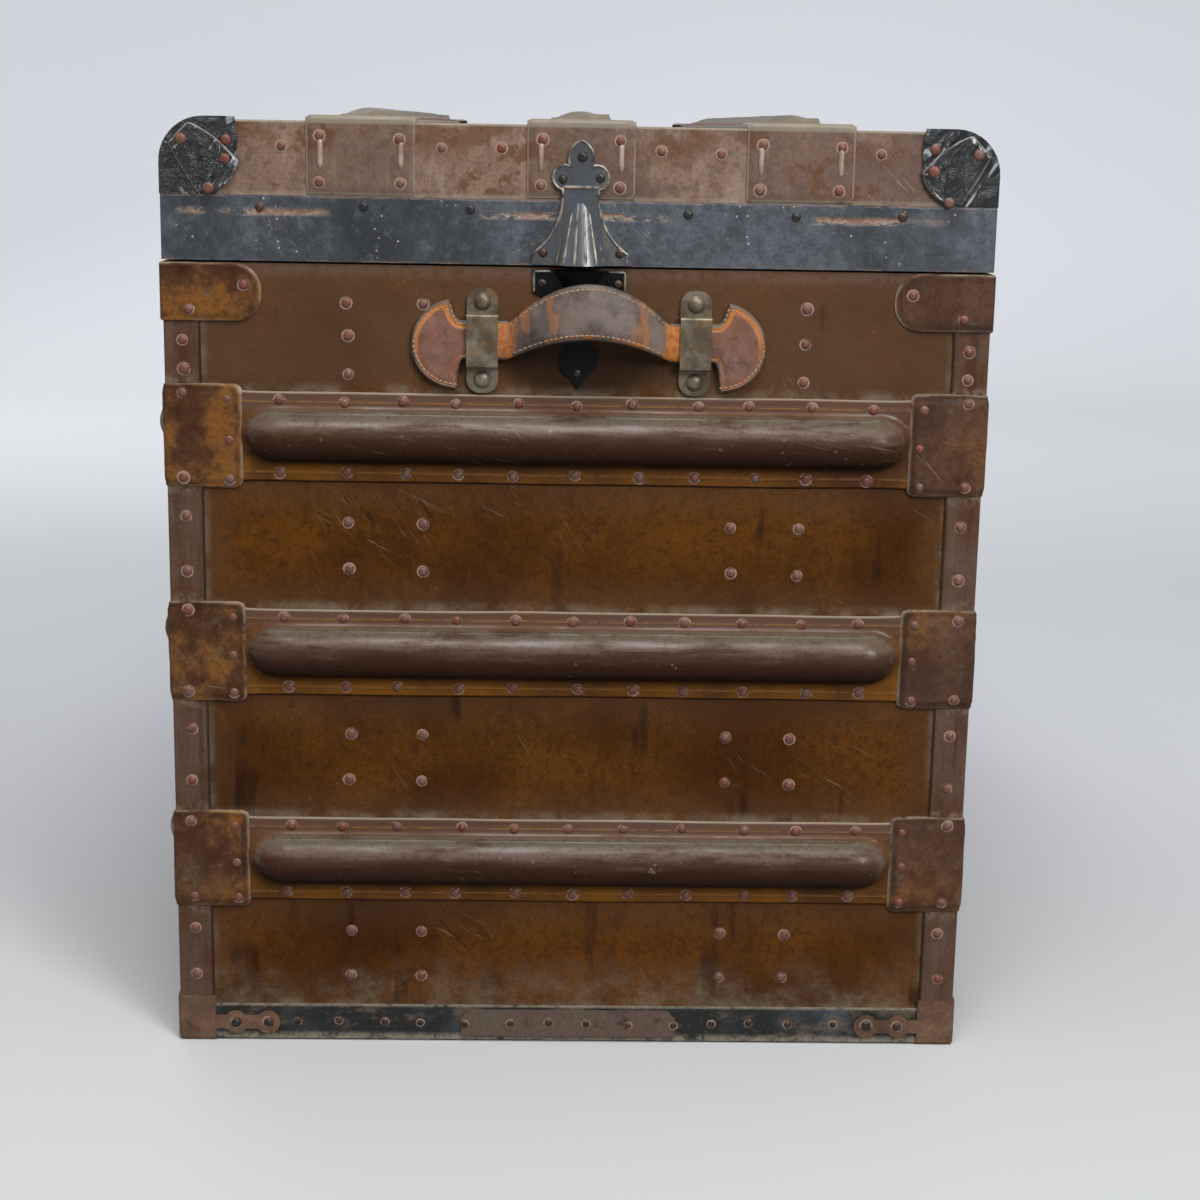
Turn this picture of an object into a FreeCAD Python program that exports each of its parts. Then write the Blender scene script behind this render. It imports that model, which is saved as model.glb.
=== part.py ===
import FreeCAD, Part
import math
import os
import Sketcher
from FreeCAD import Placement, Rotation, Vector

# A flat-topped travelling trunk: boards under hide, steel edging and hardware.
# Millimetres, Z up, the floor at zero, the middle of the floor plan at the origin.
# Left end faces minus Y, lock side faces plus X, hinge side faces minus X.

SIZES = [
    ("body_length", 910.0, "body over the hide, end to end"),
    ("body_width", 552.0, "body over the hide, lock side to hinge side"),
    ("body_height", 553.0, "floor to the rim of the body"),
    ("board", 12.0, "thickness of every wall, floor and lid board"),
    ("hide", 2.0, "thickness of the covering on the boards"),
    ("lining", 0.8, "cloth lining inside body and lid"),
    ("lid_gap", 1.5, "open joint between rim and lid"),
    ("lid_height", 91.5, "lid from its lower edge to the hide on top"),
    ("lid_corner_radius", 28.0, "roll of the long top edges over the hide"),
    ("lid_edge_round", 1.7, "softened edge of the lid end hides"),
    ("valance_height", 43.0, "steel strip round the lower part of the lid"),
    ("valance_metal", 1.6, "thickness of that strip"),
    ("band_width", 61.0, "hide band carrying a rib"),
    ("band_leather", 2.0, "thickness of band and of the rib skin"),
    ("band_low_height", 137.0, "centre of the lowest band above the floor"),
    ("upper_field", 85.5, "rim to the upper edge of the top band"),
    ("rib_width", 35.5, "width of a rib where it leaves its band"),
    ("rib_height", 19.0, "how far a rib stands off the hide"),
    ("rib_end_gap", 53.0, "trunk corner to the nose of a rib"),
    ("batten_clearance", 0.3, "play between a rib skin and its batten"),
    ("lid_band_width", 60.0, "hide band on the lid top"),
    ("lid_band_pitch", 145.5, "lid band to lid band"),
    ("lid_rib_width", 40.0, "width of a lid rib at its band"),
    ("lid_rib_height", 10.0, "how far a lid rib stands off the hide"),
    ("lid_rib_end_gap", 54.0, "lid end to the nose of a lid rib"),
    ("clamp_leg", 50.0, "corner clamp along each face"),
    ("clamp_height", 71.0, "corner clamp up the corner"),
    ("clamp_leather", 2.0, "thickness of a corner clamp"),
    ("clamp_corner_radius", 5.0, "rounded corners of clamps"),
    ("wrap_bend_radius", 3.4, "outer bend of hide wrapped round a corner"),
    ("patch_leg", 64.0, "top corner patch along each face"),
    ("patch_height", 39.0, "top corner patch down the corner"),
    ("patch_leather", 2.0, "thickness of a top corner patch"),
    ("binding_leg", 23.0, "edge binding along each face"),
    ("binding_leather", 1.5, "thickness of edge and base bindings"),
    ("binding_bend_radius", 1.4, "outer bend of the edge binding"),
    ("base_binding_height", 26.0, "strip round the foot of the body"),
    ("base_overlay_length", 154.0, "patch in the middle of the foot strip"),
    ("base_overlay_height", 20.0, "height of that patch"),
    ("base_overlay_slope", 6.0, "sloped upper corners of that patch"),
    ("base_overlay_up", 3.0, "foot of the strip to the foot of the patch"),
    ("cap_metal", 1.5, "steel of the base corner caps"),
    ("cap_reach", 24.0, "cap along each face"),
    ("cap_height", 34.0, "cap up the corner"),
    ("cap_round", 3.2, "pressed round of the cap edges"),
    ("cap_arm_width", 10.0, "riveting arm of a cap"),
    ("cap_arm_up", 14.0, "centre line of an arm above the floor"),
    ("cap_lobe_radius", 8.5, "rivet pads on an arm"),
    ("cap_near_lobe", 38.0, "corner to the near rivet pad"),
    ("cap_far_lobe", 61.0, "corner to the far rivet pad"),
    ("lid_cap_leather", 2.0, "hide of the lid corner caps"),
    ("lid_cap_radius", 52.0, "rounded reach of a lid corner cap"),
    ("lid_cap_drop", 12.0, "centre of that round below the lid top"),
    ("lid_clamp_width", 72.0, "clamp over a lid band end"),
    ("lid_clamp_reach", 50.0, "lid clamp along the top"),
    ("lid_clamp_leather", 2.0, "thickness of a lid clamp"),
    ("lid_clamp_bend", 3.4, "outer bend of a lid clamp"),
    ("lid_clamp_foot_gap", 1.0, "lid clamp to the strip below it"),
    ("handle_height", 36.5, "top band edge to the middle of the handle"),
    ("handle_aside", 7.0, "middle of the end to the middle of the handle"),
    ("loop_band_gap", 1.3, "top band edge to the foot of a loop"),
    ("loop_spacing", 143.0, "handle loop to handle loop"),
    ("loop_width", 21.0, "handle loop across"),
    ("loop_metal", 2.5, "steel of a handle loop"),
    ("loop_clear", 7.5, "room for the strap under a loop"),
    ("loop_inner_half", 15.5, "half of the inside height of a loop"),
    ("loop_lug_radius", 9.0, "rounded ends of a loop"),
    ("loop_bend_radius", 2.0, "outer bends of a loop"),
    ("loop_rivet_radius", 6.0, "head of a handle rivet"),
    ("loop_rivet_height", 3.2, "rise of a handle rivet head"),
    ("strap_thick", 6.0, "stitched strap of the handle"),
    ("strap_neck_half", 13.0, "half of the strap under the loops"),
    ("tab_tip_across", 94.0, "handle middle to the upper horn of a tab"),
    ("tab_tip_up", 27.0, "rise of the upper horn"),
    ("tab_low_across", 89.0, "handle middle to the lower horn"),
    ("tab_band_gap", 3.5, "top band edge to the lower horn"),
    ("tab_reach", 119.0, "handle middle to the round end of a tab"),
    ("tab_shoulder", 84.0, "handle middle to the shoulder of a tab"),
    ("tab_hollow_across", 86.5, "hollow between horn and shoulder"),
    ("tab_hollow_up", 20.0, "height of that hollow"),
    ("neck_end", 54.5, "handle middle to the end of the neck"),
    ("grip_half", 54.0, "handle middle to the end of the grip"),
    ("grip_rise", 22.0, "arch of the grip"),
    ("grip_bow", 24.0, "bow of the grip away from the end"),
    ("grip_root_out", 6.0, "middle of the strap off the end at the loops"),
    ("grip_root_tall", 24.0, "height of the strap at the loops"),
    ("grip_root_thick", 5.5, "thickness of the strap at the loops"),
    ("grip_mid_tall", 37.0, "height of the grip in the middle"),
    ("grip_mid_thick", 9.0, "thickness of the padded grip"),
    ("bell_plate", 2.0, "steel of a lid aligner"),
    ("bell_foot_half", 32.0, "half width of the bell foot"),
    ("bell_foot_lift", 0.5, "bell foot above the lid lower edge"),
    ("bell_foot_height", 8.0, "straight part of the bell foot"),
    ("bell_flank_half", 19.5, "half width on the hollow flank"),
    ("bell_flank_height", 21.0, "height of that place"),
    ("bell_waist_half", 12.7, "half width at the waist"),
    ("bell_waist_height", 50.0, "height of the waist"),
    ("bell_lobe_half", 19.0, "half width over the side lobes"),
    ("bell_lobe_height", 57.0, "height of the side lobes"),
    ("bell_neck_half", 7.5, "half width under the top lobe"),
    ("bell_neck_height", 65.0, "height of that neck"),
    ("bell_tip_half", 8.5, "half width of the top lobe"),
    ("bell_tip_height", 73.0, "height of the widest top lobe"),
    ("bell_height", 82.0, "tip of the bell"),
    ("cone_foot_radius", 19.0, "hollow half cone at its foot"),
    ("cone_top_radius", 6.5, "hollow half cone at its top"),
    ("cone_height", 47.0, "height of the half cone"),
    ("cone_metal", 1.6, "wall of the half cone"),
    ("cone_sunk", 6.0, "cone axes behind the face they stand on"),
    ("socket_half", 31.0, "half width of the lower aligner plate"),
    ("socket_top_gap", 1.5, "rim to the top of that plate"),
    ("socket_band_gap", 4.5, "top band edge to the point of that plate"),
    ("socket_flank_half", 14.0, "half width on the lower flank"),
    ("socket_neck_half", 8.0, "half width of the lower neck"),
    ("socket_lobe_half", 13.0, "half width of the lower finial"),
    ("socket_tail_half", 5.0, "half width above the point"),
    ("corbel_low_radius", 13.0, "half-round corbel at its foot"),
    ("corbel_top_radius", 18.5, "half-round corbel at its lip"),
    ("corbel_height", 11.0, "height of the corbel"),
    ("tongue_half", 6.0, "half width of the aligner tongue"),
    ("tongue_thick", 3.0, "thickness of the tongue"),
    ("tongue_out", 2.4, "tongue off the face"),
    ("tongue_rise", 14.0, "tongue above the rim"),
    ("front_dowel_half", 250.0, "trunk middle to each lock side aligner"),
    ("hinge_spacing", 290.0, "hinge to hinge along the back"),
    ("hinge_leaf_half", 30.0, "half width of a hinge"),
    ("hinge_leaf", 2.0, "thickness of a hinge leaf"),
    ("hinge_leaf_drop", 46.0, "body leaf below the pin"),
    ("hinge_leaf_rise", 38.0, "lid leaf above the pin"),
    ("hinge_barrel_radius", 4.0, "knuckle of hinge and hasp"),
    ("hinge_pin_radius", 2.0, "pin of hinge and hasp"),
    ("pin_clearance", 0.05, "running play of a pin in its knuckle"),
    ("hinge_knuckle_half", 10.0, "half length of the middle knuckle"),
    ("knuckle_gap", 0.3, "play between knuckles and past the strip"),
    ("hinge_pin_end", 1.5, "pin beyond the knuckles"),
    ("hinge_stop_reach", 8.2, "pin centre to the tip of the lid stop"),
    ("hinge_stop_half", 2.5, "half thickness of the lid stop"),
    ("lock_half", 34.0, "half width of the lock plate"),
    ("lock_band_gap", 5.5, "top band edge to the lock plate"),
    ("lock_top_gap", 2.0, "rim to the lock plate"),
    ("lock_plate_thick", 2.5, "thickness of the lock plate"),
    ("lock_corner_radius", 10.0, "rounded corners of the lock plate"),
    ("lock_boss_radius", 24.0, "round boss of the lock"),
    ("lock_boss_drop", 40.0, "lock plate top to the boss centre"),
    ("lock_boss_out", 9.0, "face of the boss off the hide"),
    ("lock_notch_half", 6.0, "half width of the notch for the hasp"),
    ("lock_notch_drop", 34.0, "lock plate top to the notch floor"),
    ("lock_notch_back", 4.0, "back of the notch off the hide"),
    ("key_radius", 2.6, "round of the keyhole"),
    ("key_slot_half", 1.2, "half width of the keyhole slot"),
    ("key_slot_length", 9.0, "length of the keyhole slot"),
    ("key_drop", 50.0, "lock plate top to the keyhole"),
    ("key_depth", 5.0, "depth of the keyhole"),
    ("hasp_axis_up", 20.0, "hasp pin above the lid lower edge"),
    ("hasp_plate_half", 27.0, "half width of the hasp hinge plate"),
    ("hasp_plate_rise", 19.0, "hasp hinge plate above the pin"),
    ("hasp_knuckle_half", 11.0, "half length of the hasp knuckle"),
    ("hasp_thick", 3.0, "thickness of the hasp"),
    ("hasp_gap", 0.4, "hasp to the face of the boss"),
    ("hasp_waist_drop", 8.0, "pin to where the hasp widens"),
    ("hasp_half", 17.0, "half width of the hasp"),
    ("hasp_shoulder_drop", 18.0, "pin to the full width of the hasp"),
    ("hasp_round_drop", 60.0, "pin to the start of the round end"),
    ("hasp_drop", 77.0, "pin to the lower tip of the hasp"),
    ("stud_half", 4.6, "half width of the hasp stud"),
    ("stud_height", 12.0, "height of the hasp stud"),
    ("stud_lift", 1.0, "notch floor to the stud"),
    ("stud_back_gap", 0.6, "notch back to the stud"),
    ("tray_wall", 8.0, "boards of the tray"),
    ("tray_side_gap", 3.0, "tray to the lining along the long walls"),
    ("tray_end_gap", 9.0, "tray to the lining at the ends"),
    ("tray_height", 110.0, "tray over its floor and walls"),
    ("tray_top_gap", 9.0, "rim to the top of the tray"),
    ("tray_hole_length", 90.0, "hand hole in a tray end"),
    ("tray_hole_height", 26.0, "height of the hand hole"),
    ("tray_hole_drop", 22.0, "tray top to the hand hole"),
    ("tray_divider_across", 130.0, "tray middle to its divider"),
    ("cleat_height", 18.0, "runner under the tray"),
    ("cleat_depth", 15.0, "runner out from the wall"),
    ("cleat_end_gap", 40.0, "runner short of the ends"),
]

ARC_MID_SHARE = math.sqrt(0.5)
LUG_SHARE = 0.97
PATCH_END_SHARE = 0.47
SOCKET_DROP_SHARES = (0.2, 0.35, 0.62, 0.77, 0.9)
GRIP_STATION_SHARES = (-1.0, -0.72, -0.38, 0.0, 0.38, 0.72, 1.0)

doc = FreeCAD.newDocument("Trunk")
sheet = doc.addObject("Spreadsheet::Sheet", "Sizes")


class Size:
    """A length with its number and the sheet expression that gives it."""

    def __init__(self, value, text):
        self.value = float(value)
        self.text = text

    @staticmethod
    def of(other):
        if isinstance(other, Size):
            return other
        return Size(other, repr(float(other)))

    def __add__(self, other):
        other = Size.of(other)
        return Size(self.value + other.value, "(%s + %s)" % (self.text, other.text))

    def __sub__(self, other):
        other = Size.of(other)
        return Size(self.value - other.value, "(%s - %s)" % (self.text, other.text))

    def __mul__(self, other):
        other = Size.of(other)
        return Size(self.value * other.value, "(%s * %s)" % (self.text, other.text))

    def __truediv__(self, other):
        other = Size.of(other)
        return Size(self.value / other.value, "(%s / %s)" % (self.text, other.text))

    def __neg__(self):
        return Size(-self.value, "(0 - %s)" % self.text)

    def __rsub__(self, other):
        return Size.of(other) - self


class Sheet:
    """The driving sizes by name."""


s = Sheet()
for row, (alias, value, note) in enumerate(SIZES, start=1):
    sheet.set("A%d" % row, alias)
    sheet.set("B%d" % row, repr(value))
    sheet.setAlias("B%d" % row, alias)
    sheet.set("C%d" % row, note)
    setattr(s, alias, Size(value, "Sizes." + alias))
doc.recompute()

ZERO = Size(0, "0")
half_length = s.body_length / 2
half_width = s.body_width / 2
foot = s.cap_metal
inner_half_length = half_length - s.hide - s.board
inner_half_width = half_width - s.hide - s.board
lid_bottom = s.body_height + s.lid_gap
lid_top = lid_bottom + s.lid_height


def bind(obj, prop, size):
    obj.setExpression(prop, Size.of(size).text)


def move(obj, x, y, z):
    bind(obj, "Placement.Base.x", x)
    bind(obj, "Placement.Base.y", y)
    bind(obj, "Placement.Base.z", z)


def block(name, x, y, z):
    """A box given by its two ends along each axis."""
    obj = doc.addObject("Part::Box", name)
    bind(obj, "Length", x[1] - x[0])
    bind(obj, "Width", y[1] - y[0])
    bind(obj, "Height", z[1] - z[0])
    move(obj, x[0], y[0], z[0])
    return obj


def rod(name, radius, x, y, z, axis):
    """A cylinder between two ends along one axis, given by its centre line."""
    obj = doc.addObject("Part::Cylinder", name)
    bind(obj, "Radius", radius)
    turn = {"x": Rotation(Vector(0, 1, 0), 90), "y": Rotation(Vector(1, 0, 0), -90), "z": Rotation()}
    obj.Placement = Placement(Vector(), turn[axis])
    ends = {"x": x, "y": y, "z": z}[axis]
    bind(obj, "Height", ends[1] - ends[0])
    start = {"x": x, "y": y, "z": z}
    start[axis] = ends[0]
    move(obj, start["x"], start["y"], start["z"])
    return obj


def cut(name, base, tool):
    obj = doc.addObject("Part::Cut", name)
    obj.Base = base
    obj.Tool = tool
    return obj


def fuse(name, parts):
    obj = doc.addObject("Part::MultiFuse", name)
    obj.Shapes = parts
    return obj


def common(name, parts):
    obj = doc.addObject("Part::MultiCommon", name)
    obj.Shapes = parts
    return obj


def group(name, parts):
    obj = doc.addObject("Part::Compound", name)
    obj.Links = parts
    return obj


def new_body(name):
    return doc.addObject("PartDesign::Body", name)


def outline(body, role, name, start, steps):
    """A closed sketch on an origin plane of its body.

    A step is a corner, or a pair of a point on an arc and the corner after it.
    """
    plane = [p for p in body.Origin.OriginFeatures if p.Role == role][0]
    sketch = body.newObject("Sketcher::SketchObject", name)
    sketch.AttachmentSupport = [(plane, "")]
    sketch.MapMode = "FlatFace"
    corners = [start]
    bows = []
    for step in steps:
        arc = isinstance(step[0], tuple)
        bows.append(step[0] if arc else None)
        corners.append(step[1] if arc else step)
    if corners[-1] is start:
        corners.pop()
    else:
        bows.append(None)
    count = len(corners)

    def spot(pair):
        return Vector(Size.of(pair[0]).value, Size.of(pair[1]).value, 0)

    pieces = []
    first = []
    for i, bow in enumerate(bows):
        here = spot(corners[i])
        there = spot(corners[(i + 1) % count])
        leftward = bow is None or (spot(bow) - here).cross(there - here).z > 0
        first.append(1 if leftward else 2)
        if bow is None:
            pieces.append(Part.LineSegment(here, there))
        elif leftward:
            pieces.append(Part.Arc(here, spot(bow), there))
        else:
            pieces.append(Part.Arc(there, spot(bow), here))
    sketch.addGeometry(pieces, False)
    rules = []
    sizes = []

    def pin(geometry, point, pair, label):
        rules.append(Sketcher.Constraint("DistanceX", -1, 1, geometry, point, spot(pair).x))
        sizes.append((label + "_across", pair[0]))
        rules.append(Sketcher.Constraint("DistanceY", -1, 1, geometry, point, spot(pair).y))
        sizes.append((label + "_up", pair[1]))

    for i in range(count):
        pin(i, first[i], corners[i], "corner%d" % i)
    extra = count
    joins = []
    for i, bow in enumerate(bows):
        if bow is not None:
            sketch.addGeometry(Part.Point(spot(bow)), True)
            pin(extra, 1, bow, "bow%d" % i)
            joins.append(Sketcher.Constraint("PointOnObject", extra, 1, i))
            extra += 1
        after = (i + 1) % count
        joins.append(Sketcher.Constraint("Coincident", i, 3 - first[i], after, first[after]))
    sketch.addConstraint(rules + joins)
    for i, (label, size) in enumerate(sizes):
        sketch.renameConstraint(i, label)
        bind(sketch, "Constraints." + label, size)
    return sketch


def pad(body, sketch, name, length, both_ways=False):
    feature = body.newObject("PartDesign::Pad", name)
    feature.Profile = sketch
    bind(feature, "Length", length)
    if both_ways:
        feature.SideType = "Symmetric"
    return feature


def soften(body, name, radius, wanted):
    """Round the edges of a body that the test picks out."""
    body.recompute(True)
    last = body.Tip
    picked = ["Edge%d" % (i + 1) for i, edge in enumerate(last.Shape.Edges) if wanted(edge)]
    if not picked:
        raise ValueError("no edge to round on " + body.Name)
    feature = body.newObject("PartDesign::Fillet", name)
    feature.Base = (last, picked)
    bind(feature, "Radius", radius)
    return feature


def middle(edge):
    return edge.valueAt((edge.FirstParameter + edge.LastParameter) / 2)


def near(number, size):
    return abs(number - Size.of(size).value) < Part.Precision.confusion() * 1000


def arc_corner(centre, radius, across, up):
    """The middle of a quarter round on a sketch."""
    reach = radius * ARC_MID_SHARE
    return (centre[0] + reach * across, centre[1] + reach * up)


FACE_TURNS = {"left": 0, "front": 90, "right": 180, "back": 270}
CORNERS = [(-1, -1), (1, -1), (1, 1), (-1, 1)]


def seat(obj, face, along=ZERO, up=ZERO, out=ZERO):
    """Stand a piece drawn for the left end on one of the four faces."""
    reach = (half_length if face in ("left", "right") else half_width) + out
    spots = {
        "left": (along, -reach),
        "front": (reach, along),
        "right": (-along, reach),
        "back": (-reach, -along),
    }
    obj.Placement = Placement(Vector(), Rotation(Vector(0, 0, 1), FACE_TURNS[face]))
    move(obj, spots[face][0], spots[face][1], up)
    return obj


def seat_corner(obj, index, up):
    """Stand a piece drawn for the first corner on one of the four corners."""
    across, along = CORNERS[index]
    obj.Placement = Placement(Vector(), Rotation(Vector(0, 0, 1), 90 * index))
    move(obj, half_width * across, half_length * along, up)
    return obj


nodes = {}

# Boards of the body, the floor let in between the walls.
nodes["front_board"] = block(
    "FrontBoard",
    (inner_half_width, inner_half_width + s.board),
    (-(half_length - s.hide), half_length - s.hide),
    (foot, s.body_height),
)
nodes["back_board"] = block(
    "BackBoard",
    (-(inner_half_width + s.board), -inner_half_width),
    (-(half_length - s.hide), half_length - s.hide),
    (foot, s.body_height),
)
nodes["left_end_board"] = block(
    "LeftEndBoard",
    (-inner_half_width, inner_half_width),
    (-(inner_half_length + s.board), -inner_half_length),
    (foot, s.body_height),
)
nodes["right_end_board"] = block(
    "RightEndBoard",
    (-inner_half_width, inner_half_width),
    (inner_half_length, inner_half_length + s.board),
    (foot, s.body_height),
)
nodes["bottom_board"] = block(
    "BottomBoard",
    (-inner_half_width, inner_half_width),
    (-inner_half_length, inner_half_length),
    (foot, foot + s.board),
)
floor_top = foot + s.board
nodes["body_lining"] = cut(
    "BodyLining",
    block(
        "LiningOuter",
        (-inner_half_width, inner_half_width),
        (-inner_half_length, inner_half_length),
        (floor_top, s.body_height),
    ),
    block(
        "LiningInner",
        (-(inner_half_width - s.lining), inner_half_width - s.lining),
        (-(inner_half_length - s.lining), inner_half_length - s.lining),
        (floor_top + s.lining, s.body_height + s.board),
    ),
)

# Hide on the outside of the four walls.
nodes["front_covering"] = block(
    "FrontCovering",
    (half_width - s.hide, half_width),
    (-half_length, half_length),
    (foot, s.body_height),
)
nodes["back_covering"] = block(
    "BackCovering",
    (-half_width, -(half_width - s.hide)),
    (-half_length, half_length),
    (foot, s.body_height),
)
nodes["left_end_covering"] = block(
    "LeftEndCovering",
    (-(half_width - s.hide), half_width - s.hide),
    (-half_length, -(half_length - s.hide)),
    (foot, s.body_height),
)
nodes["right_end_covering"] = block(
    "RightEndCovering",
    (-(half_width - s.hide), half_width - s.hide),
    (half_length - s.hide, half_length),
    (foot, s.body_height),
)


def corner_wrap(name, leg, thick, lift, height, bend, end_round=None):
    """Hide folded round a vertical corner, lifted off it by what lies under."""
    body = new_body(name)
    inner = -lift
    outer = -(lift + thick)
    turn = arc_corner((outer + bend, outer + bend), bend, -1, -1)
    sketch = outline(
        body,
        "XY_Plane",
        name + "Plan",
        (leg, inner),
        [
            (inner, inner),
            (inner, leg),
            (outer, leg),
            (outer, outer + bend),
            (turn, (outer + bend, outer)),
            (leg, outer),
        ],
    )
    pad(body, sketch, name + "Pad", height)
    if end_round is not None:

        def at_leg_end(edge):
            spot = middle(edge)
            tip = near(spot.x, leg) or near(spot.y, leg)
            return tip and (near(spot.z, ZERO) or near(spot.z, height))

        def through(edge):
            short = abs(edge.Length - thick.value) < Part.Precision.confusion() * 1000
            return short and at_leg_end(edge)

        soften(body, name + "Ends", end_round, through)
    return body


wall_height = s.body_height - foot
nodes["edge_bindings"] = group(
    "EdgeBindings",
    [
        seat_corner(
            corner_wrap(
                "EdgeBinding%d" % i,
                s.binding_leg,
                s.binding_leather,
                ZERO,
                wall_height,
                s.binding_bend_radius,
            ),
            i,
            foot,
        )
        for i in range(4)
    ],
)
field_edge = s.body_height - s.upper_field
band_high_height = field_edge - s.band_width / 2
band_heights = [
    s.band_low_height,
    (s.band_low_height + band_high_height) / 2,
    band_high_height,
]
nodes["corner_clamps"] = group(
    "CornerClamps",
    [
        seat_corner(
            corner_wrap(
                "CornerClamp%d_%d" % (i, k),
                s.clamp_leg,
                s.clamp_leather,
                s.band_leather,
                s.clamp_height,
                s.wrap_bend_radius,
                s.clamp_corner_radius,
            ),
            i,
            height - s.clamp_height / 2,
        )
        for i in range(4)
        for k, height in enumerate(band_heights)
    ],
)
nodes["top_corner_patches"] = group(
    "TopCornerPatches",
    [
        seat_corner(
            corner_wrap(
                "TopCornerPatch%d" % i,
                s.patch_leg,
                s.patch_leather,
                s.binding_leather,
                s.patch_height,
                s.wrap_bend_radius,
                s.patch_height * PATCH_END_SHARE,
            ),
            i,
            s.body_height - s.patch_height,
        )
        for i in range(4)
    ],
)


def capsule(name, half, radius):
    """A round bar with ball ends lying along X."""
    body = new_body(name)
    turn_left = arc_corner((-(half - radius), ZERO), radius, -1, 1)
    turn_right = arc_corner((half - radius, ZERO), radius, 1, 1)
    sketch = outline(
        body,
        "XY_Plane",
        name + "Half",
        (-half, ZERO),
        [
            (turn_left, (-(half - radius), radius)),
            (half - radius, radius),
            (turn_right, (half, ZERO)),
        ],
    )
    turn = body.newObject("PartDesign::Revolution", name + "Turn")
    turn.Profile = sketch
    turn.ReferenceAxis = (sketch, ["H_Axis"])
    turn.Angle = 360
    return body


def ribbed_band(name, plate_half, tip_half, width, leather, rib_width, rib_height):
    """A band with a hollow round-nosed rib, and the batten inside the rib."""
    rib_half = rib_width / 2
    radius = (rib_height * rib_height + rib_half * rib_half) / (rib_height * 2)
    sunk = radius - rib_height
    axis_half = tip_half + radius - rib_half
    keep = (
        (-axis_half, axis_half),
        (-(rib_height + leather), ZERO),
        (-(width / 2), width / 2),
    )

    def rib(label, less):
        bar = capsule(name + label + "Bar", axis_half - less, radius - less)
        move(bar, ZERO, sunk, ZERO)
        return common(name + label, [bar, block(name + label + "Keep", *keep)])

    plate = block(
        name + "Plate",
        (-plate_half, plate_half),
        (-leather, ZERO),
        (-(width / 2), width / 2),
    )
    skin = fuse(name + "Skin", [plate, rib("Rib", ZERO)])
    band = cut(name, skin, rib("Hollow", leather))
    batten = rib("Batten", leather + s.batten_clearance)
    return band, batten


battens = []
for face in ("left", "right", "front", "back"):
    half = half_length if face in ("front", "back") else half_width
    bands = []
    for k, height in enumerate(band_heights):
        band, batten = ribbed_band(
            "%sBand%d" % (face.capitalize(), k),
            half - s.binding_leg,
            half - s.rib_end_gap,
            s.band_width,
            s.band_leather,
            s.rib_width,
            s.rib_height,
        )
        bands.append(seat(band, face, up=height))
        battens.append(seat(batten, face, up=height))
    label = face + ("_end_bands" if face in ("left", "right") else "_bands")
    nodes[label] = group(face.capitalize() + "Bands", bands)
nodes["band_battens"] = group("BandBattens", battens)

# Strip round the foot, its middle patches and the steel corner caps.
strips = []
patches = []
for face in ("left", "right", "front", "back"):
    half = (half_length if face in ("front", "back") else half_width) - s.binding_leg
    strip = block(
        face.capitalize() + "BaseStrip",
        (-half, half),
        (-s.binding_leather, ZERO),
        (ZERO, s.base_binding_height),
    )
    strips.append(seat(group(face.capitalize() + "BaseStripSeat", [strip]), face, up=foot))
    patch = new_body(face.capitalize() + "BasePatch")
    patch_half = s.base_overlay_length / 2
    sketch = outline(
        patch,
        "XZ_Plane",
        face.capitalize() + "BasePatchShape",
        (-patch_half, ZERO),
        [
            (patch_half, ZERO),
            (patch_half, s.base_overlay_height - s.base_overlay_slope),
            (patch_half - s.base_overlay_slope, s.base_overlay_height),
            (-(patch_half - s.base_overlay_slope), s.base_overlay_height),
            (-patch_half, s.base_overlay_height - s.base_overlay_slope),
        ],
    )
    pad(patch, sketch, face.capitalize() + "BasePatchPad", s.binding_leather)
    patches.append(seat(patch, face, up=foot + s.base_overlay_up, out=s.binding_leather))
nodes["base_bindings"] = group("BaseBindings", strips)
nodes["base_overlays"] = group("BaseOverlays", patches)


def corner_cap(name):
    """A pressed steel corner with a riveting arm along each face."""
    lift = s.binding_leather
    outer = -(lift + s.cap_metal)
    shell_body = new_body(name + "Shell")
    sketch = outline(
        shell_body,
        "XY_Plane",
        name + "Plan",
        (outer, outer),
        [(s.cap_reach, outer), (s.cap_reach, s.cap_reach), (outer, s.cap_reach)],
    )
    pad(shell_body, sketch, name + "Block", s.cap_height)

    def outside(edge):
        spot = middle(edge)
        low = near(spot.z, ZERO)
        west = near(spot.x, outer)
        south = near(spot.y, outer)
        return (low and west) or (low and south) or (west and south)

    soften(shell_body, name + "Round", s.cap_round, outside)
    room = block(
        name + "Room",
        (-lift, s.cap_reach + s.cap_reach),
        (-lift, s.cap_reach + s.cap_reach),
        (s.cap_metal, s.cap_height + s.cap_height),
    )
    parts = [cut(name + "Walls", shell_body, room)]
    arm_up = (s.cap_arm_up - s.cap_arm_width / 2, s.cap_arm_up + s.cap_arm_width / 2)
    skin = (outer, -lift)
    reach = (s.cap_reach - s.cap_arm_width, s.cap_far_lobe)
    parts.append(block(name + "ArmX", reach, skin, arm_up))
    parts.append(block(name + "ArmY", skin, reach, arm_up))
    for k, lobe in enumerate((s.cap_near_lobe, s.cap_far_lobe)):
        parts.append(rod("%sPadX%d" % (name, k), s.cap_lobe_radius, lobe, skin, s.cap_arm_up, "y"))
        parts.append(rod("%sPadY%d" % (name, k), s.cap_lobe_radius, skin, lobe, s.cap_arm_up, "x"))
    return fuse(name, parts)


nodes["base_corner_caps"] = group(
    "BaseCornerCaps",
    [seat_corner(corner_cap("BaseCap%d" % i), i, ZERO) for i in range(4)],
)

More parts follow.
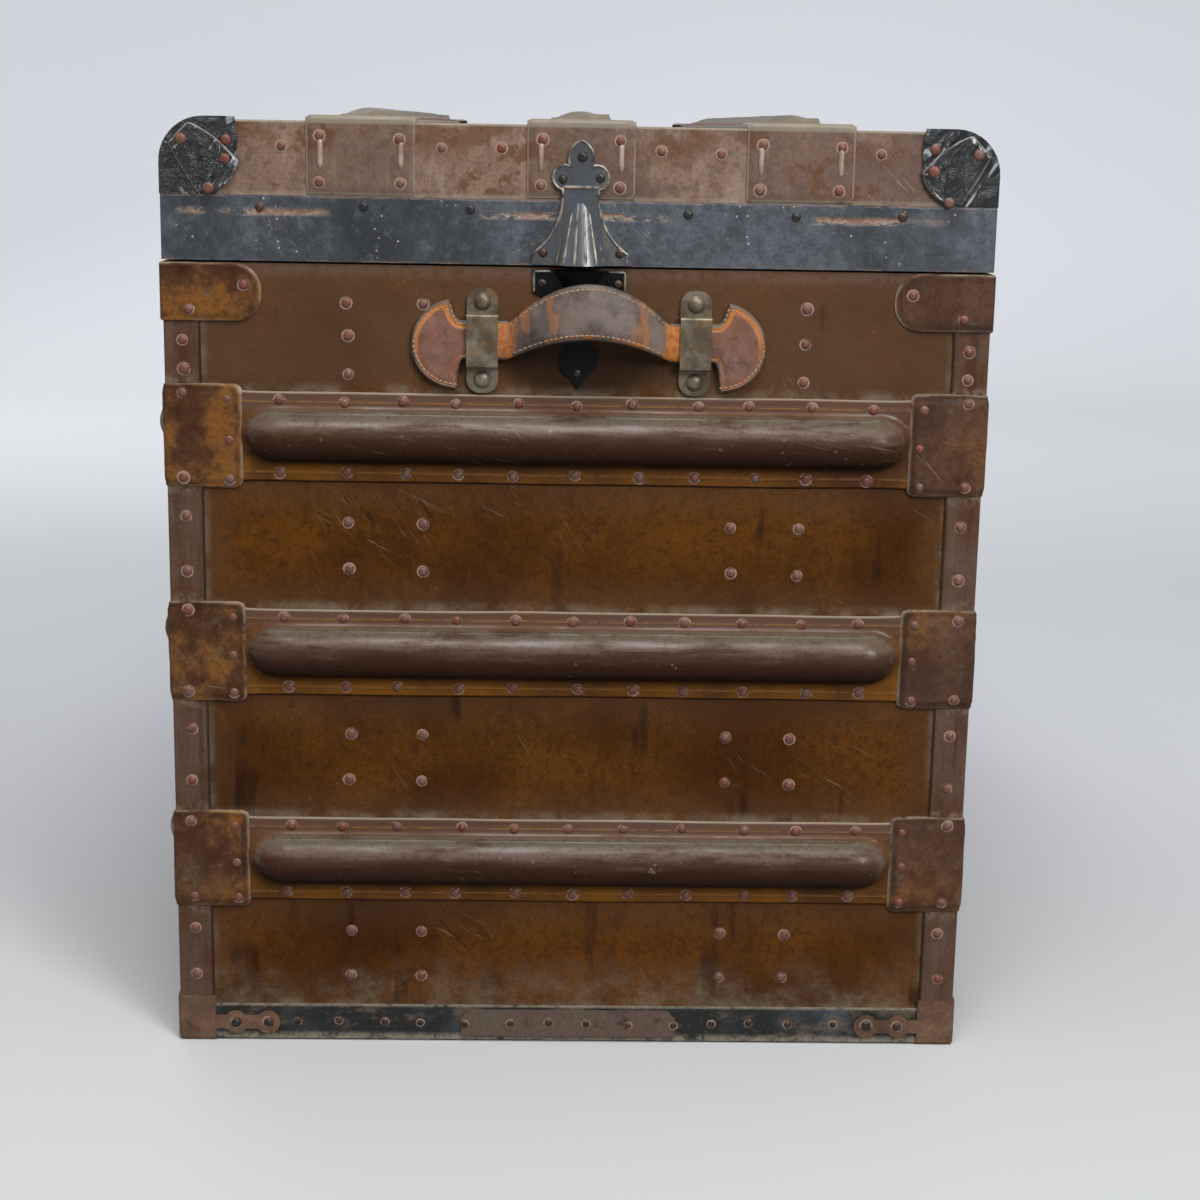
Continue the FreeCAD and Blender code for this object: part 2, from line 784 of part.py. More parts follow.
# Boards of the lid: bent rails, a flat top board and two shaped ends.
roll_half = half_width - s.lid_corner_radius
roll_up = lid_top - s.lid_corner_radius
wood_radius = s.lid_corner_radius - s.hide
room_radius = wood_radius - s.board


def lid_form(name, less, start, length, low=lid_bottom):
    """The lid outline drawn in by a thickness, padded towards the left end."""
    body = new_body(name)
    half = half_width - less
    top = lid_top - less
    radius = s.lid_corner_radius - less
    sketch = outline(
        body,
        "XZ_Plane",
        name + "Shape",
        (-half, low),
        [
            (half, low),
            (half, roll_up),
            (arc_corner((roll_half, roll_up), radius, 1, 1), (roll_half, top)),
            (-roll_half, top),
            (arc_corner((-roll_half, roll_up), radius, -1, 1), (-half, roll_up)),
        ],
    )
    pad(body, sketch, name + "Pad", length)
    move(body, ZERO, start, ZERO)
    return body


def lid_rail(name, side):
    """A rail with its top edge bent over to meet the flat board."""
    body = new_body(name)
    inner = inner_half_width * side
    outer = (inner_half_width + s.board) * side
    centre = (roll_half * side, roll_up)
    sketch = outline(
        body,
        "XZ_Plane",
        name + "Section",
        (inner, lid_bottom),
        [
            (outer, lid_bottom),
            (outer, roll_up),
            (arc_corner(centre, wood_radius, side, 1), (centre[0], roll_up + wood_radius)),
            (centre[0], roll_up + room_radius),
            (arc_corner(centre, room_radius, side, 1), (inner, roll_up)),
        ],
    )
    pad(body, sketch, name + "Pad", inner_half_length * 2, both_ways=True)
    return body


nodes["lid_front_rail"] = lid_rail("LidFrontRail", 1)
nodes["lid_back_rail"] = lid_rail("LidBackRail", -1)
nodes["lid_top_board"] = block(
    "LidTopBoard",
    (-roll_half, roll_half),
    (-inner_half_length, inner_half_length),
    (lid_top - s.hide - s.board, lid_top - s.hide),
)
nodes["lid_left_end_board"] = lid_form("LidLeftEndBoard", s.hide, -inner_half_length, s.board)
nodes["lid_right_end_board"] = lid_form(
    "LidRightEndBoard", s.hide, inner_half_length + s.board, s.board
)
room_less = s.hide + s.board
nodes["lid_lining"] = cut(
    "LidLining",
    lid_form("LidLiningOuter", room_less, inner_half_length, inner_half_length * 2),
    lid_form(
        "LidLiningInner",
        room_less + s.lining,
        inner_half_length - s.lining,
        (inner_half_length - s.lining) * 2,
        low=lid_bottom - s.lining,
    ),
)
wrap_half = half_length - s.hide
nodes["lid_wrap_covering"] = cut(
    "LidWrapCovering",
    lid_form("LidWrapOuter", ZERO, wrap_half, wrap_half * 2),
    lid_form("LidWrapInner", s.hide, half_length, half_length * 2, low=lid_bottom - s.hide),
)


def lid_end_hide(name, start, outer_y):
    body = lid_form(name, ZERO, start, s.hide)

    def rim(edge):
        spot = middle(edge)
        return near(spot.y, outer_y) and spot.z > lid_bottom.value + s.hide.value

    soften(body, name + "Round", s.lid_edge_round, rim)
    return body


nodes["lid_left_end_covering"] = lid_end_hide("LidLeftEndHide", -(half_length - s.hide), -s.hide)
nodes["lid_right_end_covering"] = lid_end_hide("LidRightEndHide", half_length, ZERO)
strip_top = lid_bottom + s.valance_height
nodes["lid_valance"] = cut(
    "LidValance",
    block(
        "ValanceOuter",
        (-(half_width + s.valance_metal), half_width + s.valance_metal),
        (-(half_length + s.valance_metal), half_length + s.valance_metal),
        (lid_bottom, strip_top),
    ),
    block(
        "ValanceInner",
        (-half_width, half_width),
        (-half_length, half_length),
        (lid_bottom - s.valance_metal, strip_top + s.valance_metal),
    ),
)

# Bands along the lid top, their battens and the clamps over their ends.
top_turn = Rotation(Vector(0, 1, 0), Vector(0, 0, -1), Vector(-1, 0, 0), "XYZ")
lid_bands = []
lid_battens = []
lid_clamps = []
for k in (-1, 0, 1):
    band, batten = ribbed_band(
        "LidBand%d" % (k + 1),
        half_length,
        half_length - s.lid_rib_end_gap,
        s.lid_band_width,
        s.band_leather,
        s.lid_rib_width,
        s.lid_rib_height,
    )
    for piece, pieces in ((band, lid_bands), (batten, lid_battens)):
        piece.Placement = Placement(Vector(), top_turn)
        move(piece, s.lid_band_pitch * k, ZERO, lid_top)
        pieces.append(piece)
    for face in ("left", "right"):
        name = "%sLidClamp%d" % (face.capitalize(), k + 1)
        clamp = new_body(name)
        drop = s.lid_height - s.valance_height - s.lid_clamp_foot_gap
        under = s.band_leather
        over = s.band_leather + s.lid_clamp_leather
        bend_at = s.lid_clamp_bend - s.lid_clamp_leather
        bend = arc_corner((bend_at, over - s.lid_clamp_bend), s.lid_clamp_bend, -1, 1)
        sketch = outline(
            clamp,
            "YZ_Plane",
            name + "Section",
            (ZERO, -drop),
            [
                (ZERO, under),
                (s.lid_clamp_reach, under),
                (s.lid_clamp_reach, over),
                (bend_at, over),
                (bend, (-s.lid_clamp_leather, over - s.lid_clamp_bend)),
                (-s.lid_clamp_leather, -drop),
            ],
        )
        pad(clamp, sketch, name + "Pad", s.lid_clamp_width, both_ways=True)

        def tips(edge):
            spot = middle(edge)
            side = near(abs(spot.x), s.lid_clamp_width / 2)
            thin = abs(edge.Length - s.lid_clamp_leather.value) < Part.Precision.confusion() * 1000
            return side and thin and (near(spot.y, s.lid_clamp_reach) or near(spot.z, -drop))

        soften(clamp, name + "Ends", s.clamp_corner_radius, tips)
        across = s.lid_band_pitch * (k if face == "left" else -k)
        lid_clamps.append(seat(clamp, face, along=across, up=lid_top))
nodes["lid_bands"] = group("LidBands", lid_bands)
nodes["lid_battens"] = group("LidBattens", lid_battens)
nodes["lid_band_clamps"] = group("LidBandClamps", lid_clamps)

# Caps of soft black hide folded over the four lid corners.
cap_length = half_length + s.lid_cap_leather
cap_skin = cut(
    "LidCapSkin",
    lid_form("LidCapOuter", -s.lid_cap_leather, cap_length, cap_length * 2),
    lid_form("LidCapInner", ZERO, half_length, half_length * 2, low=lid_bottom - s.hide),
)
lid_caps = []
for i, (across, along) in enumerate(CORNERS):
    ball = doc.addObject("Part::Sphere", "LidCapReach%d" % i)
    bind(ball, "Radius", s.lid_cap_radius)
    move(
        ball,
        (half_width + s.lid_cap_leather) * across,
        (half_length + s.lid_cap_leather) * along,
        lid_top - s.lid_cap_drop,
    )
    above = block(
        "LidCapAbove%d" % i,
        (-half_width * 2, half_width * 2),
        (-half_length * 2, half_length * 2),
        (strip_top, lid_top * 2),
    )
    lid_caps.append(common("LidCornerCap%d" % i, [cap_skin, ball, above]))
nodes["lid_corner_caps"] = group("LidCornerCaps", lid_caps)

# Handle hardware and straps, the same on both ends, between top band and rim.
handle_up = field_edge + s.handle_height
loop_tall = s.handle_height - s.loop_band_gap
loop_rivet_half = loop_tall - s.loop_lug_radius
tab_low_down = s.handle_height - s.tab_band_gap
loops = []
tabs = []
rivets = []
grips = {}


def handle_loop(name):
    body = new_body(name)
    tall = loop_tall
    inner = s.loop_inner_half
    outer = s.loop_inner_half + s.loop_metal
    metal = s.loop_metal
    high = s.loop_clear + s.loop_metal
    sketch = outline(
        body,
        "YZ_Plane",
        name + "Section",
        (ZERO, -tall),
        [
            (ZERO, -inner),
            (-s.loop_clear, -inner),
            (-s.loop_clear, inner),
            (ZERO, inner),
            (ZERO, tall),
            (-metal, tall),
            (-metal, outer),
            (-high, outer),
            (-high, -outer),
            (-metal, -outer),
            (-metal, -tall),
        ],
    )
    pad(body, sketch, name + "Pad", s.loop_width, both_ways=True)

    def lug_tips(edge):
        spot = middle(edge)
        side = near(abs(spot.x), s.loop_width / 2)
        return side and near(abs(spot.z), tall) and near(edge.Length, metal)

    soften(body, name + "Lugs", s.loop_lug_radius * LUG_SHARE, lug_tips)

    def bends(edge):
        spot = middle(edge)
        return near(spot.y, -high) and near(abs(spot.z), outer) and near(spot.x, ZERO)

    soften(body, name + "Bends", s.loop_bend_radius, bends)
    return body


def handle_tab(name, side):
    body = new_body(name)
    neck = s.strap_neck_half
    sketch = outline(
        body,
        "XZ_Plane",
        name + "Shape",
        (s.neck_end * side, neck),
        [
            (s.tab_shoulder * side, neck),
            ((s.tab_hollow_across * side, s.tab_hollow_up), (s.tab_tip_across * side, s.tab_tip_up)),
            ((s.tab_reach * side, ZERO), (s.tab_low_across * side, -tab_low_down)),
            ((s.tab_hollow_across * side, -s.tab_hollow_up), (s.tab_shoulder * side, -neck)),
            (s.neck_end * side, -neck),
        ],
    )
    pad(body, sketch, name + "Pad", s.strap_thick)
    return body


def rivet_head(name, radius, height):
    """A low dome standing out from the left end."""
    ball_radius = (radius * radius + height * height) / (height * 2)
    head = doc.addObject("Part::Sphere", name)
    bind(head, "Radius", ball_radius)
    sunk = ball_radius - height
    head.setExpression("Angle1", "asin(%s / %s)" % (sunk.text, ball_radius.text))
    head.Placement = Placement(Vector(), Rotation(Vector(1, 0, 0), 90))
    move(head, ZERO, sunk, ZERO)
    return group(name + "Seat", [head])


def strap_section(place, tall, thick):
    """A strap section across X: flat sides and half-round edges."""
    half = thick / 2
    flat = tall / 2 - half
    x, y, z = place.x, place.y, place.z
    points = [
        Vector(x, y - half, z - flat),
        Vector(x, y - half, z + flat),
        Vector(x, y, z + flat + half),
        Vector(x, y + half, z + flat),
        Vector(x, y + half, z - flat),
        Vector(x, y, z - flat - half),
    ]
    edges = [
        Part.LineSegment(points[0], points[1]).toShape(),
        Part.Arc(points[1], points[2], points[3]).toShape(),
        Part.LineSegment(points[3], points[4]).toShape(),
        Part.Arc(points[4], points[5], points[0]).toShape(),
    ]
    return Part.Wire(edges)


def handle_grip(name):
    """The arched and bowed strap between the loops, swept through sections."""
    wires = []
    for share in GRIP_STATION_SHARES:
        lift = 1 - share * share
        place = Vector(
            s.grip_half.value * share,
            -(s.grip_root_out.value + s.grip_bow.value * lift),
            s.grip_rise.value * lift,
        )
        tall = s.grip_root_tall.value + (s.grip_mid_tall.value - s.grip_root_tall.value) * lift
        thick = s.grip_root_thick.value + (s.grip_mid_thick.value - s.grip_root_thick.value) * lift
        wires.append(strap_section(place, tall, thick))
    grip = doc.addObject("Part::Feature", name)
    grip.Shape = Part.makeLoft(wires, True, False)
    return grip


for face in ("left", "right"):
    for side in (-1, 1):
        label = face.capitalize() + ("Low" if side < 0 else "High")
        across = s.handle_aside + s.loop_spacing / 2 * side
        loops.append(seat(handle_loop(label + "Loop"), face, along=across, up=handle_up))
        tab = handle_tab(label + "Tab", side)
        tabs.append(seat(tab, face, along=s.handle_aside, up=handle_up))
        for rise in (-1, 1):
            head = rivet_head(
                "%sRivet%d" % (label, rise + 1), s.loop_rivet_radius, s.loop_rivet_height
            )
            height = handle_up + loop_rivet_half * rise
            rivets.append(seat(head, face, along=across, up=height, out=s.loop_metal))
    grip = handle_grip(face.capitalize() + "Grip")
    grips[face] = seat(grip, face, along=s.handle_aside, up=handle_up)
nodes["handle_loops"] = group("HandleLoops", loops)
nodes["handle_tabs"] = group("HandleTabs", tabs)
nodes["handle_rivets"] = group("HandleRivets", rivets)
nodes["left_handle_grip"] = grips["left"]
nodes["right_handle_grip"] = grips["right"]


def half_cone(name, low_radius, top_radius, low, high):
    """The part of an upright cone that stands out of the left end plane."""
    cone = doc.addObject("Part::Cone", name + "Cone")
    bind(cone, "Radius1", low_radius)
    bind(cone, "Radius2", top_radius)
    bind(cone, "Height", high - low)
    move(cone, ZERO, s.cone_sunk, low)
    reach = low_radius + top_radius
    keep = block(name + "Keep", (-reach, reach), (-reach, ZERO), (low, high))
    return common(name, [cone, keep])


def mirrored(points):
    return [(-across, up) for across, up in points]


def dowel_bell(name):
    """The lid half of an aligner: a finial plate with a hollow half cone."""
    body = new_body(name + "Plate")
    foot_up = s.bell_foot_lift
    sketch = outline(
        body,
        "XZ_Plane",
        name + "Shape",
        (-s.bell_foot_half, foot_up),
        [
            (s.bell_foot_half, foot_up),
            (s.bell_foot_half, s.bell_foot_height),
            ((s.bell_flank_half, s.bell_flank_height), (s.bell_waist_half, s.bell_waist_height)),
            ((s.bell_lobe_half, s.bell_lobe_height), (s.bell_neck_half, s.bell_neck_height)),
            ((s.bell_tip_half, s.bell_tip_height), (ZERO, s.bell_height)),
            ((-s.bell_tip_half, s.bell_tip_height), (-s.bell_neck_half, s.bell_neck_height)),
            ((-s.bell_lobe_half, s.bell_lobe_height), (-s.bell_waist_half, s.bell_waist_height)),
            ((-s.bell_flank_half, s.bell_flank_height), (-s.bell_foot_half, s.bell_foot_height)),
        ],
    )
    pad(body, sketch, name + "Pad", s.bell_plate)
    cone = half_cone(name + "Cone", s.cone_foot_radius, s.cone_top_radius, foot_up, s.cone_height)
    room = half_cone(
        name + "Room",
        s.cone_foot_radius - s.cone_metal,
        s.cone_top_radius - s.cone_metal,
        foot_up - s.cone_metal,
        s.cone_height - s.cone_metal,
    )
    return cut(name, fuse(name + "Pressing", [body, cone]), room)


def dowel_base(name):
    """The body half of an aligner: a tailed plate, a corbel and a tongue."""
    body = new_body(name + "Plate")
    point = s.upper_field - s.socket_band_gap
    straight, flank, neck, lobe, tail = [-(point * share) for share in SOCKET_DROP_SHARES]
    side = [
        (s.socket_half, straight),
        ((s.socket_flank_half, flank), (s.socket_neck_half, neck)),
        ((s.socket_lobe_half, lobe), (s.socket_tail_half, tail)),
        (ZERO, -point),
        (-s.socket_tail_half, tail),
        ((-s.socket_lobe_half, lobe), (-s.socket_neck_half, neck)),
        ((-s.socket_flank_half, flank), (-s.socket_half, straight)),
        (-s.socket_half, -s.socket_top_gap),
    ]
    sketch = outline(body, "XZ_Plane", name + "Shape", (s.socket_half, -s.socket_top_gap), side)
    pad(body, sketch, name + "Pad", s.bell_plate)
    corbel = half_cone(
        name + "Corbel",
        s.corbel_low_radius,
        s.corbel_top_radius,
        -(s.socket_top_gap + s.corbel_height),
        -s.socket_top_gap,
    )
    tongue = block(
        name + "Tongue",
        (-s.tongue_half, s.tongue_half),
        (-(s.tongue_out + s.tongue_thick), -s.tongue_out),
        (-(s.socket_top_gap + s.corbel_height / 2), s.tongue_rise),
    )
    return fuse(name, [body, corbel, tongue])


bells = []
bases = []
for label, face, along, under in (
    ("LeftDowel", "left", ZERO, s.lid_clamp_leather),
    ("RightDowel", "right", ZERO, s.lid_clamp_leather),
    ("FrontDowelA", "front", -s.front_dowel_half, s.valance_metal),
    ("FrontDowelB", "front", s.front_dowel_half, s.valance_metal),
):
    bells.append(seat(dowel_bell(label + "Bell"), face, along=along, up=lid_bottom, out=under))
    bases.append(seat(dowel_base(label + "Base"), face, along=along, up=s.body_height))
nodes["dowel_bells"] = group("DowelBells", bells)
nodes["dowel_bases"] = group("DowelBases", bases)

# Three hinges along the back, pins on the joint line. A nib on the lid knuckle
# turns with the lid and meets the body leaf just past the upright, as a stop.
barrel = s.hinge_barrel_radius
pin_up = s.body_height + s.lid_gap / 2
pin_out = s.valance_metal + s.knuckle_gap + barrel
bore = s.hinge_pin_radius + s.pin_clearance
leaf_half = s.hinge_leaf_half
knuckle = s.hinge_knuckle_half
outer_knuckle = knuckle + s.knuckle_gap
body_leaves = []
lid_leaves = []
pins = []
for k in (-1, 0, 1):
    tag = "Hinge%d" % (k + 1)
    along = s.hinge_spacing * k
    parts = [
        block(
            tag + "BodyLeaf",
            (-leaf_half, leaf_half),
            (-s.hinge_leaf, ZERO),
            (-s.hinge_leaf_drop, s.hinge_leaf - barrel),
        )
    ]
    for side in (-1, 1):
        ends = (outer_knuckle, leaf_half) if side > 0 else (-leaf_half, -outer_knuckle)
        piece = tag + ("Near" if side < 0 else "Far")
        parts.append(block(piece + "Crank", ends, (-pin_out, ZERO), (-barrel, s.hinge_leaf - barrel)))
        parts.append(rod(piece + "Knuckle", barrel, ends, -pin_out, ZERO, "x"))
    whole = fuse(tag + "BodyWhole", parts)
    hole = rod(tag + "BodyBore", bore, (-leaf_half * 2, leaf_half * 2), -pin_out, ZERO, "x")
    body_leaves.append(seat(cut(tag + "BodyHalf", whole, hole), "back", along=along, up=pin_up))
    plate_low = barrel + s.knuckle_gap * 2
    middle_ends = (-knuckle, knuckle)
    lid_skin = (-(s.valance_metal + s.hinge_leaf), -s.valance_metal)
    parts = [
        block(tag + "LidLeaf", (-leaf_half, leaf_half), lid_skin, (plate_low, s.hinge_leaf_rise)),
        block(tag + "LidNeck", middle_ends, lid_skin, (barrel - s.hinge_leaf, plate_low)),
        block(
            tag + "LidCrank",
            middle_ends,
            (-pin_out, -s.valance_metal),
            (barrel - s.hinge_leaf, barrel),
        ),
        rod(tag + "LidKnuckle", barrel, middle_ends, -pin_out, ZERO, "x"),
        block(
            tag + "LidStop",
            middle_ends,
            (-(pin_out + s.hinge_stop_reach), -pin_out),
            (-s.hinge_stop_half, s.hinge_stop_half),
        ),
    ]
    whole = fuse(tag + "LidWhole", parts)
    hole = rod(tag + "LidBore", bore, (-leaf_half * 2, leaf_half * 2), -pin_out, ZERO, "x")
    lid_leaves.append(seat(cut(tag + "LidHalf", whole, hole), "back", along=along, up=pin_up))
    pin_end = leaf_half + s.hinge_pin_end
    pin = rod(tag + "PinRod", s.hinge_pin_radius, (-pin_end, pin_end), -pin_out, ZERO, "x")
    pins.append(seat(group(tag + "Pin", [pin]), "back", along=along, up=pin_up))
nodes["hinge_body_leaves"] = group("HingeBodyLeaves", body_leaves)
nodes["hinge_lid_leaves"] = group("HingeLidLeaves", lid_leaves)
nodes["hinge_pins"] = group("HingePins", pins)

# Lock on the front: a bossed plate with an open notch, and a hinged hasp.
lock_up = s.body_height - s.lock_top_gap
lock_height = s.upper_field - s.lock_top_gap - s.lock_band_gap
plate_body = new_body("LockFace")
sketch = outline(
    plate_body,
    "XZ_Plane",
    "LockFaceShape",
    (-s.lock_half, -lock_height),
    [(s.lock_half, -lock_height), (s.lock_half, ZERO), (-s.lock_half, ZERO)],
)
pad(plate_body, sketch, "LockFacePad", s.lock_plate_thick)
soften(
    plate_body,
    "LockFaceCorners",
    s.lock_corner_radius,
    lambda edge: near(edge.Length, s.lock_plate_thick) and near(middle(edge).z, -lock_height),
)
boss = rod(
    "LockBoss", s.lock_boss_radius, ZERO, (-s.lock_boss_out, ZERO), -s.lock_boss_drop, "y"
)
notch = block(
    "LockNotch",
    (-s.lock_notch_half, s.lock_notch_half),
    (-s.lock_boss_out * 2, -s.lock_notch_back),
    (-s.lock_notch_drop, s.lock_half),
)
key_ends = (-(s.lock_boss_out + s.key_depth), -(s.lock_boss_out - s.key_depth))
key_round = rod("KeyRound", s.key_radius, ZERO, key_ends, -s.key_drop, "y")
key_slot = block(
    "KeySlot",
    (-s.key_slot_half, s.key_slot_half),
    key_ends,
    (-(s.key_drop + s.key_slot_length), -s.key_drop),
)
lock = cut(
    "LockPlate",
    fuse("LockWhole", [plate_body, boss]),
    fuse("LockHoles", [notch, key_round, key_slot]),
)
nodes["lock_plate"] = seat(lock, "front", up=lock_up)

hasp_up = lid_bottom + s.hasp_axis_up
hasp_inner = s.lock_boss_out + s.hasp_gap
hasp_outer = hasp_inner + s.hasp_thick
hasp_out = hasp_outer - barrel
hasp_knuckle = s.hasp_knuckle_half
hasp_gap_half = hasp_knuckle + s.knuckle_gap
plate_half = s.hasp_plate_half
parts = [
    block(
        "HaspPlateLeaf",
        (-plate_half, plate_half),
        (-(s.valance_metal + s.hinge_leaf), -s.valance_metal),
        (barrel - s.hinge_leaf, s.hasp_plate_rise),
    )
]
for side in (-1, 1):
    ends = (hasp_gap_half, plate_half) if side > 0 else (-plate_half, -hasp_gap_half)
    piece = "HaspPlate" + ("Near" if side < 0 else "Far")
    parts.append(
        block(
            piece + "Crank",
            ends,
            (-hasp_out, -s.valance_metal),
            (barrel - s.hinge_leaf, barrel),
        )
    )
    parts.append(rod(piece + "Knuckle", barrel, ends, -hasp_out, ZERO, "x"))
hasp_hole = rod("HaspPlateBore", bore, (-plate_half * 2, plate_half * 2), -hasp_out, ZERO, "x")
hasp_plate = cut("HaspPlate", fuse("HaspPlateWhole", parts), hasp_hole)
nodes["hasp_plate"] = seat(hasp_plate, "front", up=hasp_up)
pin_end = plate_half + s.hinge_pin_end
hasp_rod = rod("HaspPinRod", s.hinge_pin_radius, (-pin_end, pin_end), -hasp_out, ZERO, "x")
nodes["hasp_pin"] = seat(group("HaspPin", [hasp_rod]), "front", up=hasp_up)

hasp_body = new_body("HaspShape")
sketch = outline(
    hasp_body,
    "XZ_Plane",
    "HaspOutline",
    (-hasp_knuckle, ZERO),
    [
        (-hasp_knuckle, -s.hasp_waist_drop),
        (-s.hasp_half, -s.hasp_shoulder_drop),
        (-s.hasp_half, -s.hasp_round_drop),
        ((ZERO, -s.hasp_drop), (s.hasp_half, -s.hasp_round_drop)),
        (s.hasp_half, -s.hasp_shoulder_drop),
        (hasp_knuckle, -s.hasp_waist_drop),
        (hasp_knuckle, ZERO),
    ],
)
pad(hasp_body, sketch, "HaspPad", s.hasp_thick)
move(hasp_body, ZERO, -hasp_inner, ZERO)
notch_floor = lock_up - s.lock_notch_drop - hasp_up
stud = block(
    "HaspStud",
    (-s.stud_half, s.stud_half),
    (-hasp_inner - s.hasp_thick / 2, -(s.lock_notch_back + s.stud_back_gap)),
    (notch_floor + s.stud_lift, notch_floor + s.stud_lift + s.stud_height),
)
hasp_roll = rod("HaspRoll", barrel, (-hasp_knuckle, hasp_knuckle), -hasp_out, ZERO, "x")
hasp_bore = rod("HaspBore", bore, (-plate_half * 2, plate_half * 2), -hasp_out, ZERO, "x")
hasp = cut("Hasp", fuse("HaspWhole", [hasp_body, stud, hasp_roll]), hasp_bore)
nodes["lock_hasp"] = seat(hasp, "front", up=hasp_up)

# Lift-out tray on two runners.
tray_half_width = inner_half_width - s.lining - s.tray_side_gap
tray_half_length = inner_half_length - s.lining - s.tray_end_gap
tray_top = s.body_height - s.tray_top_gap
tray_low = tray_top - s.tray_height
tray_floor = tray_low + s.tray_wall
nodes["tray_bottom"] = block(
    "TrayBottom",
    (-tray_half_width, tray_half_width),
    (-tray_half_length, tray_half_length),
    (tray_low, tray_floor),
)
long_walls = []
end_walls = []
for side in (-1, 1):
    near_x = tray_half_width - s.tray_wall
    across = (near_x, tray_half_width) if side > 0 else (-tray_half_width, -near_x)
    long_walls.append(
        block(
            "TrayLongWall%d" % (side + 1),
            across,
            (-tray_half_length, tray_half_length),
            (tray_floor, tray_top),
        )
    )
    near_y = tray_half_length - s.tray_wall
    along = (near_y, tray_half_length) if side > 0 else (-tray_half_length, -near_y)
    wall = block(
        "TrayEndBlank%d" % (side + 1),
        (-near_x, near_x),
        along,
        (tray_floor, tray_top),
    )
    hole_up = tray_top - s.tray_hole_drop - s.tray_hole_height / 2
    hole_half = s.tray_hole_length / 2 - s.tray_hole_height / 2
    through = (along[0] - s.tray_wall, along[1] + s.tray_wall)
    tag = "TrayHole%d" % (side + 1)
    hole = fuse(
        tag,
        [
            block(
                tag + "Slot",
                (-hole_half, hole_half),
                through,
                (hole_up - s.tray_hole_height / 2, hole_up + s.tray_hole_height / 2),
            ),
            rod(tag + "Near", s.tray_hole_height / 2, -hole_half, through, hole_up, "y"),
            rod(tag + "Far", s.tray_hole_height / 2, hole_half, through, hole_up, "y"),
        ],
    )
    end_walls.append(cut("TrayEndWall%d" % (side + 1), wall, hole))
nodes["tray_long_walls"] = group("TrayLongWalls", long_walls)
nodes["tray_end_walls"] = group("TrayEndWalls", end_walls)
nodes["tray_divider"] = block(
    "TrayDivider",
    (-(tray_half_width - s.tray_wall), tray_half_width - s.tray_wall),
    (s.tray_divider_across, s.tray_divider_across + s.tray_wall),
    (tray_floor, tray_top - s.tray_wall),
)
cleats = []
for side in (-1, 1):
    wall_x = inner_half_width - s.lining
    across = (wall_x - s.cleat_depth, wall_x) if side > 0 else (-wall_x, s.cleat_depth - wall_x)
    cleat_half = inner_half_length - s.cleat_end_gap
    cleats.append(
        block(
            "TrayCleat%d" % (side + 1),
            across,
            (-cleat_half, cleat_half),
            (tray_low - s.cleat_height, tray_low),
        )
    )
nodes["tray_cleats"] = group("TrayCleats", cleats)

doc.recompute()
for obj in doc.Objects:
    if "Invalid" in obj.State or "Error" in obj.State:
        raise RuntimeError("%s did not rebuild: %s" % (obj.Name, obj.State))
os.makedirs("parts", exist_ok=True)
for label, obj in nodes.items():
    obj.Label = label
    if obj.Shape.isNull() or not obj.Shape.isValid():
        raise RuntimeError("bad shape: " + label)
    obj.Shape.exportStep("parts/%s.step" % label)
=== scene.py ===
"""Travelling trunk: hides, fittings, nails and stage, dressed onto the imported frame."""

import math
import random

import bmesh
import bpy
import numpy as np
from mathutils import Matrix, Vector, noise


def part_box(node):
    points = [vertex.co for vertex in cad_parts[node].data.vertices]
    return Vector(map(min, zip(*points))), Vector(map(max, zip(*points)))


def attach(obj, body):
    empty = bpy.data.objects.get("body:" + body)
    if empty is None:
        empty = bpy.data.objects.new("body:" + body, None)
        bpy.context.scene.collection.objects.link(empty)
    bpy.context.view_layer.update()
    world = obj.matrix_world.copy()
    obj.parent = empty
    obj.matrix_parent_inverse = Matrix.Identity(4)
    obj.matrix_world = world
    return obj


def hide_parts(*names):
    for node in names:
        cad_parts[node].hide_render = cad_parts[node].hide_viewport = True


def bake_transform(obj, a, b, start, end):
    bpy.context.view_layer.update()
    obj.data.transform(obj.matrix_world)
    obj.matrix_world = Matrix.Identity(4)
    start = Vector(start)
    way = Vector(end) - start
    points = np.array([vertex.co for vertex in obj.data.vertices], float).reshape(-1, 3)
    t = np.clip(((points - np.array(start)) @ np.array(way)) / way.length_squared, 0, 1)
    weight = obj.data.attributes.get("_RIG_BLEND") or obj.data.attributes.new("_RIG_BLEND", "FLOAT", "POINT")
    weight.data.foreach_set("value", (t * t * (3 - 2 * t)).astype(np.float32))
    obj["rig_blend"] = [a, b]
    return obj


bl_info = {
    "name": "Travelling Trunk",
    "version": (1, 0, 0),
    "blender": (4, 5, 0),
    "location": "View3D > Sidebar > Trunk",
    "description": "Dresses the frame of a hide-covered travelling trunk",
    "category": "Object",
}

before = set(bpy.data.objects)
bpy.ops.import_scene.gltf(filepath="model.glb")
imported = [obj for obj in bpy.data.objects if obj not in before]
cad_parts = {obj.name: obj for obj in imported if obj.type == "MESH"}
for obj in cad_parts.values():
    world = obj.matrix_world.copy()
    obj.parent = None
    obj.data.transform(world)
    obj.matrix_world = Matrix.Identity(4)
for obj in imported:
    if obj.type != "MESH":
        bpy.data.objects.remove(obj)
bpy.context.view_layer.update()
MM = 0.001

